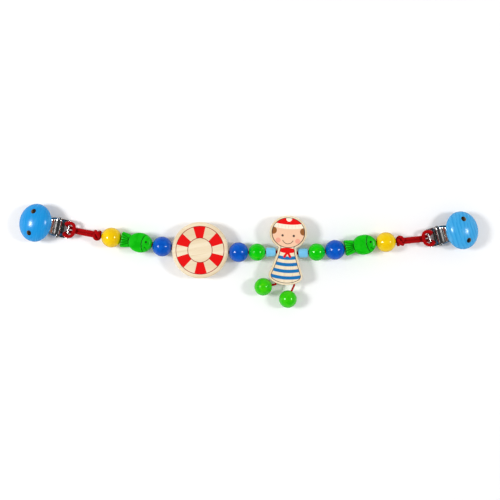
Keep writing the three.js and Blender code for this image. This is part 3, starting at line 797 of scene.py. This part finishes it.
def fish_shell():
    """A fish lofted along x: each section is a rounded rectangle, |y/h|^4 + |z/t|^4 = 1, as high as the
    outline and as thick as the blank; lines are carved into both faces and a bore runs through."""
    count, sides = 260, 288
    x = np.linspace(-FISH_HALF, FISH_HALF, count)
    dense = np.linspace(0, TAU, 20001)
    corner_y = np.sign(np.cos(dense)) * np.abs(np.cos(dense)) ** 0.5
    corner_z = np.sign(np.sin(dense)) * np.abs(np.sin(dense)) ** 0.5
    walk = walked(np.stack([corner_y * FISH_BACK, corner_z * FISH_THICK], 1))
    want = np.linspace(0, walk[-1], sides, endpoint=False)
    unit_z = np.interp(want, walk, corner_z)
    y = fish_half_height(x)[:, None] * np.interp(want, walk, corner_y)
    z = fish_half_thickness(x)[:, None] * unit_z
    sweep = np.clip((TAIL_ROOT - x) / (TAIL_ROOT + FISH_HALF), 0, 1)[:, None]
    along = x[:, None] - TAIL_SWEEP * sweep * (y / TAIL_FAN) ** 2
    facing = np.clip(np.abs(unit_z) * (1 + FACE_FADE) - FACE_FADE, 0, 1)
    step_line = TAIL_ROOT - STEP_SHIFT + STEP_BOW * (y / STEP_HALF) ** 2
    behind = 1 / (1 + np.exp((along - step_line) / STEP_SOFT))
    gill = np.hypot(along - GILL_CENTRE, y) - GILL_RADIUS
    cut = groove(along - step_line, *STEP_CUT)
    cut += groove(gill, *GILL_CUT) * (np.abs(y) < GILL_REACH)
    cut += groove(segment_distance(along, y, *FISH_SMILE), *LINE_CUT)
    for slope in TAIL_SLOPES:
        cut += groove(y - slope * (TAIL_ROOT + FAN_POINT - along) * FAN_OPEN, *LINE_CUT) * behind
    z = z - np.sign(z) * (cut + TAIL_DROP * behind) * facing
    bore_angle = np.arctan2(z[0], y[0])
    ring = BORE_RADIUS * np.stack([np.cos(bore_angle), np.sin(bore_angle)], -1)
    bore = [np.insert(ring, 0, end, 1) for end in (FISH_HALF - BORE_INSET, BORE_INSET - FISH_HALF)]
    points = np.concatenate([np.stack([along, y, z], -1), bore]).reshape(-1, 3)
    eye = np.hypot(along - FISH_EYE[0], y - FISH_EYE[1]) - FISH_EYE_RADIUS
    eye = np.where(facing > 0.5, eye, FAR)
    marks = {
        "eye": np.concatenate([eye, np.full((2, sides), FAR)]).reshape(-1),
        "cut": np.concatenate([cut * facing, np.zeros((2, sides))]).reshape(-1),
    }
    return (points, grid_faces(count + 2, sides, True, True)), marks


def add_fish():
    """Both fish, which are alike and swim to the right."""
    shell, marks = fish_shell()
    for link in ("fish_left", "fish_right"):
        add_piece(f"{link}_carved", placed(shell, link_frame(link)), FISH_GREEN, link, [link],
                  marks, RELIEF_SHARP)


# Disc with a printed lifebuoy ring

def within(*areas):
    """What several areas share, by the signed distances to their edges."""
    return np.maximum.reduce(areas)


def either(*areas):
    """What any of several areas covers, by the signed distances to their edges."""
    return np.minimum.reduce(areas)


def disc_shell():
    """A disc turned about z with rounded edges, dented where the bore comes out at either side."""
    flat = DISC_RADIUS - DISC_EDGE
    face = np.linspace(0, flat, 130)[:-1]
    profile = np.vstack([
        np.stack([face, np.full(len(face), -DISC_HALF)], 1),
        rounded_rim(DISC_RADIUS, DISC_HALF, DISC_EDGE, 17),
        np.stack([face[::-1], np.full(len(face), DISC_HALF)], 1),
    ])
    points, faces = revolved(profile, 288, "z", False)
    rim = np.hypot(points[:, 1], points[:, 2]) / BORE_RADIUS
    outer = np.abs(points[:, 0]) > flat - BORE_DENT
    dent = np.where(outer, np.clip((DENT_REACH - rim) / DENT_SOFT, 0, 1), 0)
    points[:, 0] -= np.sign(points[:, 0]) * BORE_DENT * dent
    radius = np.hypot(points[:, 0], points[:, 1])
    angle = np.arctan2(points[:, 1], points[:, 0]) - RING_TURN
    part = TAU / RING_PARTS
    off = np.abs((angle + part / 2) % part - part / 2)
    red = within(radius - RING_OUTER, RING_INNER - radius, radius * (off - part / 4))
    lines = either(np.abs(radius - RING_OUTER), np.abs(radius - RING_INNER)) - RING_LINE
    top = points[:, 2] > DISC_HALF - FACE_SLACK
    return (points, faces), {"red": np.where(top, red, FAR), "line": np.where(top, lines, FAR)}


def add_disc():
    """The disc, its print on the upper face."""
    where = link_frame("lifebuoy_disc")
    shell, marks = disc_shell()
    wood = printed_wood("printed_disc", where, BUOY_LAYERS, DISC_GRAIN)
    add_piece("lifebuoy_disc_printed", placed(shell, where), wood, "lifebuoy_disc", ["lifebuoy_disc"],
              marks)


# Doll

DOLL_FRAME = link_frame("figure")


def hem_height(x):
    """Height of the doll's curved hem at a place across it."""
    return HEM_CENTRE - math.sqrt(HEM_RADIUS ** 2 - x ** 2)


def doll_outline(count):
    """Right half of the doll from the middle of the hem up to the crown, sampled evenly, then mirrored."""
    hem_start = HEM - HEM_CORNER
    hem_angle = math.asin(hem_start / HEM_RADIUS)
    neck_angle = math.acos(NECK_HALF / HEAD_HALF_WIDTH)
    neck = HEAD_RISE - HEAD_HALF_HEIGHT * math.sin(neck_angle)
    side = HEM_CORNER - HEM_DROP
    half = np.vstack([
        arc(0, HEM_CENTRE, HEM_RADIUS, HEM_RADIUS, -QUARTER, hem_angle - QUARTER, 40),
        bend_curve((hem_start, hem_height(hem_start)), (HEM, -HEM_DROP), (HEM, side)),
        bend_curve((HEM, side), (SHOULDER + SIDE_FLARE, -HEM_DROP / 3), (SHOULDER, 0)),
        bend_curve((SHOULDER, 0), (SHOULDER, neck / 2), (NECK_HALF, neck)),
        arc(0, HEAD_RISE, HEAD_HALF_WIDTH, HEAD_HALF_HEIGHT, -neck_angle, QUARTER, 120),
    ])
    right = even_path(half, count)
    left = right[-2:0:-1] * (-1, 1)
    return np.vstack([right, left])


def doll_shell():
    """The doll's board: its outline swept through the thickness with rounded edges, then drawn in to the
    middle line on both faces; marks hold each point's distance to the edges of the printed areas."""
    outline = doll_outline(300)
    rows = 45
    ahead = np.roll(outline, -1, 0) - np.roll(outline, 1, 0)
    ahead /= np.linalg.norm(ahead, axis=1, keepdims=True)
    inward = np.stack([-ahead[:, 1], ahead[:, 0]], 1)
    turn = np.linspace(0, QUARTER, 7)
    edge_inset = DOLL_EDGE * (1 - np.sin(turn))
    edge_height = DOLL_HALF - DOLL_EDGE + DOLL_EDGE * np.cos(turn)
    inset = np.concatenate([edge_inset, edge_inset[::-1]])
    height = np.concatenate([edge_height, -edge_height[::-1]])
    rim = outline[None] + inset[:, None, None] * inward[None]
    low, high = outline[:, 1].min() + SPINE_INSET, outline[:, 1].max() - SPINE_INSET
    spine = np.stack([np.zeros(len(outline)), np.clip(outline[:, 1], low, high)], 1)
    share = np.linspace(0, 1, rows + 1)[1:, None, None]
    top = rim[0][None] * (1 - share) + spine[None] * share
    flat = np.concatenate([top[::-1], rim, top])
    level = np.concatenate([np.full(rows, DOLL_HALF), height, np.full(rows, -DOLL_HALF)])
    points = np.concatenate([flat, np.repeat(level[:, None, None], len(outline), 1)], -1).reshape(-1, 3)
    faces = grid_faces(len(level), len(outline), False, True)
    return (points, faces), doll_print(points, outline)


def spots(x, y, side, rise, radius):
    """Round spots at one height to either side of the middle, or a single one where the side is 0."""
    return np.hypot(np.abs(x) - side, y - rise) - radius


def doll_print(points, outline):
    """Signed distances, in millimetres, to the printed areas on the front: negative is inside."""
    x, y = points[:, 0], points[:, 1]
    front = points[:, 2] > DOLL_HALF - FACE_SLACK
    edge = np.full(len(points), FAR)
    for part in np.array_split(np.flatnonzero(front), 12):
        edge[part] = np.hypot(x[part, None] - outline[None, :, 0], y[part, None] - outline[None, :, 1]).min(1)
    border = PRINT_BORDER - edge
    head = np.hypot(x / HEAD_HALF_WIDTH, (y - HEAD_RISE) / HEAD_HALF_HEIGHT)
    face = (head - 1) * HEAD_HALF_HEIGHT + LINE_INSET
    brim_low = BRIM_RISE + BRIM_BOW * x ** 2
    brim = within(brim_low - y, y - brim_low - BRIM_HEIGHT, border)
    ribs = np.abs(np.sin(x * RIB_RATE)) * RIB_SLOPE - RIB_HALF
    sweep = np.hypot(x, y - STRIPE_CENTRE)
    band = np.abs((sweep - STRIPE_START) % STRIPE_PITCH - STRIPE_PITCH / 2) - STRIPE_PITCH / 4
    body = within(sweep - STRIPE_END, STRIPE_START - sweep, STRIPE_GAP - face, border)
    collar = np.hypot(x / SCARF_HALF_WIDTH, (y - SCARF_RISE) / SCARF_HALF_HEIGHT)
    collar = within((collar - 1) * SCARF_HALF_HEIGHT, border)
    tails = [segment_distance(x, y, SCARF_KNOT, end) - SCARF_TAIL for end in SCARF_ENDS]
    smile = within(np.abs(spots(x, y, *SMILE)) - SMILE_HALF, y - SMILE_TOP)
    outer = np.abs(edge - LINE_INSET) - LINE_HALF
    jaw_line = within(np.abs(face) - LINE_HALF, y - brim_low)
    marks = {
        "stripe": within(band, body),
        "scarf": either(collar, *tails),
        "skin": within(face, y - brim_low),
        "cheek": spots(x, y, *CHEEKS),
        "hair": within(spots(x, y, *HAIR), face, y - brim_low - HAIR_LAP),
        "cap": within(brim_low + BRIM_LAP - y, border, face),
        "brim": brim,
        "rib": within(ribs, brim + RIB_INSET),
        "bobble": spots(x, y, *BOBBLE),
        "dark": either(spots(x, y, *EYES), smile, outer, jaw_line),
    }
    return {name: np.where(front, values, FAR) for name, values in marks.items()}


def add_doll():
    """The doll's board, its print on the upper face and its grain upright."""
    shell, marks = doll_shell()
    wood = printed_wood("printed_doll", DOLL_FRAME, DOLL_LAYERS, QUARTER)
    add_piece("doll_printed", placed(shell, DOLL_FRAME), wood, "figure", ["figure_board"],
              marks)


# Legs, and the cord lengths inside the threaded pieces, with round ends that meet on each bend

def add_cord(name, braid, where, body, node):
    """A length of the red cord from a shell and its crowns; the braid is shaded smooth."""
    shell, crown = braid
    add_piece(name, placed(shell, where), RED_CORD, body, [node], {"crown": crown}, CORD_SHARP)


def leg_bead_shell(reach):
    """A ball at a place along x with a blind hole towards -x: the hole's floor, its wall and the sphere
    back to the axis."""
    hole = LEG_CORD_RADIUS + FOOT_HOLE_GAP
    profile = np.vstack([
        [(0, FOOT_HOLE_GAP), (hole, FOOT_HOLE_GAP)],
        arc(0, 0, LEG_BEAD, LEG_BEAD, -math.acos(hole / LEG_BEAD), QUARTER, 61),
    ])
    profile[-1, 0] = 0
    points, faces = revolved(profile, 96, "x", False)
    return points + (reach, 0, 0), faces


def add_legs():
    """For each leg the cord's end in the hem, the free cord and the foot."""
    for side, (sign, swing, length) in LEGS.items():
        leg = f"leg_{side}"
        across = sign * LEG_SIDE
        end = LEG_STUB + LEG_CORD_RADIUS
        (points, faces), crown = straight_cord(LEG_HOLE_GAP - LEG_HOLE, end, LEG_CORD_RADIUS)
        points = np.stack([points[:, 1] + across, hem_height(across) - points[:, 0], points[:, 2]], 1)
        root = f"leg_root_{side}"
        add_cord(f"{root}_braided", ((points, faces), crown), DOLL_FRAME, "figure", root)
        turn = math.radians(-90 - swing)
        along = np.array([math.cos(turn), math.sin(turn), 0.0]) @ DOLL_FRAME[1]
        where = level_frame(JOINT[f"{leg}_swing"]["pos_m"], along)
        cord = straight_cord(-LEG_CORD_RADIUS, length - LEG_CORD_INSET, LEG_CORD_RADIUS)
        add_cord(f"leg_cord_{side}_braided", cord, where, leg, f"leg_cord_{side}")
        foot = placed(leg_bead_shell(length), where)
        add_piece(f"leg_bead_{side}_turned", foot, FOOT_GREEN, leg, [f"leg_bead_{side}"])


LINK_LENGTH = {link: 2 * math.sqrt(radius ** 2 - MOUTH_RADIUS ** 2) for link, (radius, _, _) in BALLS.items()}
LINK_LENGTH.update(sleeve_left=2 * SLEEVE_HALF, sleeve_right=2 * SLEEVE_HALF, lifebuoy_disc=2 * DISC_RADIUS)
LINK_LENGTH.update(fish_left=2 * FISH_HALF, fish_right=2 * FISH_HALF)


def add_cores():
    """The cord inside each threaded piece; the side towards the doll has the wider gap at a sleeve."""
    for link, length in LINK_LENGTH.items():
        inner = length / 2 + (ARM_GAP if link.startswith("sleeve") else BEAD_GAP) / 2 + CORD_RADIUS
        outer = length / 2 + BEAD_GAP / 2 + CORD_RADIUS
        right_side = JOINT[f"{link}_bend"]["axis"][2] > 0
        start, end = (-inner, outer) if right_side else (-outer, inner)
        cord = straight_cord(start, end, CORD_RADIUS)
        add_cord(f"{link}_core", cord, link_frame(link), f"{link}_cord", f"cord_{link}")
    reach = SHOULDER + ARM_GAP / 2 + CORD_RADIUS
    cord = straight_cord(-reach, reach, CORD_RADIUS)
    add_cord("doll_core", cord, DOLL_FRAME, "figure_cord", "cord_figure_board")


# Knots and doubled cords

def knot_braid():
    """A knot drawn tight: a cord that winds twice round the chain's axis and three times round its ring."""
    t = np.arange(420) / 420 * TAU
    along = KNOT_STRETCH * np.sin(3 * t) + KNOT_SHIFT
    radius = KNOT_RADIUS + KNOT_SWELL * np.cos(3 * t)
    path = np.stack([along, radius * np.cos(2 * t), radius * np.sin(2 * t)], 1)
    return braided(path, KNOT_CORD, closed=True, sides=32)


def tether_path(knot_place):
    """The doubled cord's route in the clip's frame: down from the knot, under the bar, up through the
    slot, back over the bar and round as an arch on top of its own two strands."""
    lean = knot_place[1] / knot_place[0]
    start = knot_place[0] + KNOT_HALF - KNOT_LAP
    top = BAR_HEIGHT + WRAP_RADIUS
    slant = WRAP_RADIUS * 0.72
    leg = np.array([
        [start, STRAND_HALF, AXIS_HEIGHT],
        [start + 1.5 + 0.22 * TETHER_LENGTH, STRAND_HALF, 0.86 * AXIS_HEIGHT],
        [start + 1.5 + 0.48 * TETHER_LENGTH, STRAND_HALF, 0.5 * AXIS_HEIGHT],
        [-6, STRAND_HALF, BAR_HEIGHT - WRAP_RADIUS + 0.5],
        [0, STRAND_HALF + 0.9, BAR_HEIGHT - WRAP_RADIUS],
        [slant, STRAND_HALF + 2.3, BAR_HEIGHT - slant],
        [WRAP_RADIUS, STRAND_HALF + 3.3, BAR_HEIGHT],
        [slant, STRAND_HALF + 4.2, BAR_HEIGHT + slant],
        [0, STRAND_HALF + 5.2, top],
        [-2.9, STRAND_HALF + 5.0, top - 0.5],
        [-5.3, STRAND_HALF + 2.9, top - 1.1],
    ])
    other = leg * (1, -1, 1)
    arch = np.array([[-6.2, 0, top - 1.3]])
    route = np.concatenate([leg, arch, other[::-1]])
    route[:, 1] += lean * np.minimum(route[:, 0], 0)
    return smooth_path(route, 520)


# Clips

def dome_shell():
    """An oval cap: a flat foot with a rounded edge, a short rim and a quarter of an ellipse up to the top,
    turned about z and then drawn in along x."""
    profile = np.vstack([
        [(0, 0), (DOME_RADIUS - FOOT_RING, 0)],
        arc(DOME_RADIUS - FOOT_EDGE, FOOT_EDGE, FOOT_EDGE, FOOT_EDGE, -QUARTER, 0, 7),
        arc(0, DOME_RIM, DOME_RADIUS, DOME_HEIGHT - DOME_RIM, 0, QUARTER, 60),
    ])
    profile[-1, 0] = 0
    points, faces = revolved(profile, 144, "z", False)
    return points * (DOME_OVAL, 1, 1), faces


def strip_shell(line, half_width, thickness, pressed):
    """Sheet metal along a bent line in the clip's side view: each section is a flat bar with round edges,
    as wide and pressed out as far as asked at that place, and both ends close to a thin edge."""
    flat, corner = 13, 9
    side = np.concatenate([np.linspace(-1, 1, flat), np.ones(corner - 2),
                           np.linspace(1, -1, flat), -np.ones(corner - 2)])
    edge = np.concatenate([np.full(flat, QUARTER), np.linspace(QUARTER, -QUARTER, corner)[1:-1],
                           np.full(flat, -QUARTER), np.linspace(-QUARTER, -3 * QUARTER, corner)[1:-1]])
    ahead = np.gradient(line, axis=0)
    ahead /= np.linalg.norm(ahead, axis=1, keepdims=True)
    above = np.stack([-ahead[:, 1], ahead[:, 0]], 1)
    half = thickness / 2
    thick = np.full(len(line), half)
    thick[[0, -1]] = 0
    across = side[None] * (half_width - half)[:, None] + np.cos(edge)[None] * half
    lift = np.sin(edge)[None] * thick[:, None] + pressed[:, None]
    u = line[:, :1] + above[:, :1] * lift
    w = line[:, 1:] + above[:, 1:] * lift
    points = np.stack([u, across, w], -1).reshape(-1, 3)
    return points, grid_faces(len(line), len(side), False, True)


def under_cap(along, above):
    """Places along and above the cap's tilted underside, in the clip's side view."""
    cos, sin = math.cos(DOME_TILT), math.sin(DOME_TILT)
    return np.array([DOME_REACH + along * cos + above * sin, DOME_LIFT - along * sin + above * cos])


def flap_shell():
    """The lever's side view from the turned-down lip, along under the cap, down the neck and rolled round
    the pin; narrow under the cap with round corners at the tip, wide at the roll, and with one groove
    pressed across the neck."""
    lip = under_cap(FLAP_TIP, -LIP_DEPTH)
    tip = under_cap(FLAP_TIP - SHEET, -FLAP_DEPTH)
    neck = under_cap(-FLAP_NECK, -FLAP_DEPTH)
    before = under_cap(BEND - FLAP_NECK, -FLAP_DEPTH)
    pin = np.array([PIN_REACH, PIN_HEIGHT])
    roll = pin + (0, ROLL_RADIUS)
    out = pin + (ROLL_RADIUS, ROLL_RADIUS)
    line = np.vstack([
        bend_curve(lip, (lip + tip) / 2 + LIP_BULGE, tip, 10),
        before[None],
        bend_curve(before, neck, neck + NECK_FROM * (out - neck), 14)[1:],
        bend_curve(neck + NECK_TO * (out - neck), out, roll, 14),
        arc(*pin, ROLL_RADIUS, ROLL_RADIUS, QUARTER, QUARTER + ROLL_TURN, 40)[1:],
    ])
    line = even_path(line, 320)
    length = walked(line)
    widen = np.clip((before[0] - line[:, 0]) / FLAP_WIDEN, 0, 1)
    widen = widen * widen * (3 - 2 * widen)
    half_width = FLAP_HALF + (BARREL_HALF - FLAP_HALF) * widen
    short = np.clip(FLAP_CORNER - length, 0, FLAP_CORNER)
    half_width = half_width - FLAP_CORNER + np.sqrt(FLAP_CORNER ** 2 - short ** 2)
    row = np.argmin(np.abs(line[:, 0] - GROOVE_REACH))
    return strip_shell(line, half_width, SHEET, groove(length - length[row], GROOVE_HALF, GROOVE_DEPTH))


def pin_shell():
    """The hinge pin along y: a plain shank with a domed, peened head at each end."""
    head = arc(0, PIN_SHANK, PIN_HEAD, PIN_DOME, 0, QUARTER, 9)
    profile = np.vstack([head[::-1] * (1, -1), [(PIN_RADIUS, -PIN_SHANK), (PIN_RADIUS, PIN_SHANK)], head])
    profile[[0, -1], 0] = 0
    points, faces = revolved(profile, 40, "x", False)
    return points[:, [1, 0, 2]] + (PIN_REACH, 0, PIN_HEIGHT), faces


def bar_shell():
    """The cord bar along y, rounded at both ends, over the plate's own bar."""
    end = arc(BAR_RADIUS + BAR_SKIN - BAR_EDGE, BAR_HALF - BAR_EDGE, BAR_EDGE, BAR_EDGE, 0, QUARTER, 6)
    profile = np.vstack([[(0, -BAR_HALF)], end[::-1] * (1, -1), end, [(0, BAR_HALF)]])
    points, faces = revolved(profile, 40, "x", False)
    return points[:, [1, 0, 2]] + (0, 0, BAR_HEIGHT), faces


def on_cap(shell, clip):
    """A shell of the cap's own tilted frame, in the shared frame."""
    points, faces = shell
    u, w = under_cap(points[:, 0], points[:, 2])
    return put(np.stack([u, points[:, 1], w], 1), clip), faces


def bored(piece, cutters):
    """Cuts holes right through a piece by rods and keeps the cut mesh in the piece."""
    for cutter in cutters:
        mesh = new_mesh("hole", cutter)
        # the hole's walls take the bare wood with its painted shade
        mesh.materials.append(BARE_SHADED)
        rod = bpy.data.objects.new("hole", mesh)
        bpy.context.collection.objects.link(rod)
        cut = piece.modifiers.new("hole", "BOOLEAN")
        cut.object = rod
        cut.operation = "DIFFERENCE"
        cut.solver = "EXACT"
        cut.material_mode = "TRANSFER"
        graph = bpy.context.evaluated_depsgraph_get()
        result = bpy.data.meshes.new_from_object(piece.evaluated_get(graph))
        piece.modifiers.clear()
        piece.data = result
        bpy.data.objects.remove(rod)
    shade(piece.data, SHARP_ANGLE)


def clip_frame(side):
    """The frame of a clip: on the table under its cord bar, with x towards its tip."""
    pitch = JOINT[f"clip_{side}_pitch"]
    return level_frame([*pitch["pos_m"][:2], 0.0], (-pitch["axis"][1], pitch["axis"][0]))


def add_tether(side, clip):
    """The knot and the doubled cord between the chain and the clip's bar."""
    away = np.array(JOINT[f"tether_{side}_swing"]["pos_m"]) / MM - clip[0]
    away[2] = 0
    knot_place = (away / np.linalg.norm(away) * TETHER_LENGTH) @ clip[1].T
    knot_at = level_frame((put(knot_place, clip) + (0, 0, AXIS_HEIGHT)) * MM, -away)
    tether = f"tether_{side}"
    add_cord(f"knot_{side}_tied", knot_braid(), knot_at, tether, f"knot_{side}")
    add_cord(f"{tether}_braided", braided(tether_path(knot_place), CORD_RADIUS), clip, tether, tether)


def add_cap(side, clip):
    """The stained wooden cap with its two vents."""
    centre = clip[0] + DOME_REACH * clip[1][0]
    stain = stained_cap(f"stained_cap_{side}", centre, heading(clip), *CAPS[side])
    cap = add_piece(f"cap_{side}_turned", on_cap(dome_shell(), clip), stain, f"clip_lever_{side}",
                    [f"clip_dome_{side}"])
    low, high = VENT_ROD
    points, faces = revolved([(0, low), (VENT_RADIUS, low), (VENT_RADIUS, high), (0, high)], 48, "z", False)
    offsets = ((0, -VENT_OFFSET, 0), (0, VENT_OFFSET, 0))
    bored(cap, [on_cap((points + offset, faces), clip) for offset in offsets])


def refinished(node, material):
    """A solid of the part that is shown as it is, with a material of the scene."""
    solid = frame["nodes"][node]
    solid.data.materials.clear()
    solid.data.materials.append(material)
    return solid


def add_metal(side, clip):
    """The flap, its pin and the cord bar, and the solids that are shown with softened edges."""
    base, lever = f"clip_base_{side}", f"clip_lever_{side}"
    add_piece(f"flap_{side}_bent", placed(flap_shell(), clip), NICKEL, lever, [f"clip_flap_{side}"],
              sharp=RELIEF_SHARP)
    add_piece(f"pin_{side}_peened", placed(pin_shell(), clip), NICKEL, base, [f"clip_hinge_pin_{side}"])
    add_piece(f"bar_{side}_round", placed(bar_shell(), clip), NICKEL, base, [])
    for node in ("back_plate", "rivet_inner", "rivet_outer"):
        solid = refinished(f"clip_{node}_{side}", NICKEL)
        weld = solid.modifiers.new("weld", "WELD")
        weld.merge_threshold = PLATE_WELD * MM
        edge = solid.modifiers.new("edge", "BEVEL")
        edge.width = PLATE_EDGE * MM
        edge.segments = 2
        edge.limit_method = "ANGLE"
        edge.angle_limit = math.radians(PLATE_ANGLE)
    refinished(f"clip_jaw_pad_{side}", JAW)


# Floor, light and camera

def add_floor():
    """A wide pale table top, dimmer where something shiny mirrors it."""
    corners = [(-1, -1), (1, -1), (1, 1), (-1, 1)]
    mesh = bpy.data.meshes.new("table")
    mesh.from_pydata([(TABLE_HALF * x, TABLE_HALF * y, -TABLE_DROP) for x, y in corners], [], [(0, 1, 2, 3)])
    finish = Finish("table_white", Roughness=0.9, Specular_IOR_Level=0.0)
    mirrored = finish.node("ShaderNodeLightPath").outputs["Is Glossy Ray"]
    finish.colour(finish.mix(mirrored, TABLE_WHITE, TABLE_MIRRORED))
    mesh.materials.append(finish.material)
    table = bpy.data.objects.new("table", mesh)
    bpy.context.collection.objects.link(table)


def add_lamp(name, place, size, power):
    """A square soft box that faces the middle of the table."""
    lamp = bpy.data.lights.new(name, "AREA")
    lamp.size = size
    lamp.energy = power
    holder = bpy.data.objects.new(name, lamp)
    x, y, z = place
    holder.location = place
    holder.rotation_euler = (0.0, math.atan2(math.hypot(x, y), z), math.atan2(y, x))
    bpy.context.collection.objects.link(holder)


def add_world():
    """A studio: white walls low down, darker overhead, and dimmer still where something shiny mirrors it."""
    world = bpy.data.worlds.new("studio")
    bpy.context.scene.world = world
    world.use_nodes = True
    tree = world.node_tree
    split = tree.nodes.new("ShaderNodeSeparateXYZ")
    tree.links.new(tree.nodes.new("ShaderNodeTexCoord").outputs["Generated"], split.inputs[0])
    path = tree.nodes.new("ShaderNodeLightPath")
    gleam = tree.nodes.new("ShaderNodeMapRange")
    gleam.inputs["To Min"].default_value = STUDIO_STRENGTH
    gleam.inputs["To Max"].default_value = STUDIO_MIRRORED
    tree.links.new(path.outputs["Is Glossy Ray"], gleam.inputs["Value"])
    tree.links.new(gleam.outputs["Result"], tree.nodes["Background"].inputs["Strength"])
    ramp = tree.nodes.new("ShaderNodeValToRGB")
    low, high = ramp.color_ramp.elements
    low.position = 0.0
    low.color = STUDIO_LOW
    high.position = STUDIO_TOP
    high.color = STUDIO_HIGH
    tree.links.new(split.outputs["Z"], ramp.inputs["Fac"])
    tree.links.new(ramp.outputs["Color"], tree.nodes["Background"].inputs["Color"])


def add_camera():
    """A camera that looks straight down."""
    camera = bpy.data.cameras.new("camera")
    camera.lens = LENS
    camera.sensor_width = 36.0
    camera.clip_start = 0.01
    viewer = bpy.data.objects.new("camera", camera)
    viewer.location = CAMERA_PLACE
    bpy.context.collection.objects.link(viewer)
    bpy.context.scene.camera = viewer


# The whole scene

add_beads()
add_fish()
add_disc()
add_doll()
add_legs()
add_cores()
for side in ("left", "right"):
    clip = clip_frame(side)
    add_tether(side, clip)
    add_cap(side, clip)
    add_metal(side, clip)
add_floor()
for name, (place, size, power) in LAMPS.items():
    add_lamp(name, place, size, power)
add_world()
add_camera()
bpy.context.scene.view_settings.view_transform = "Standard"
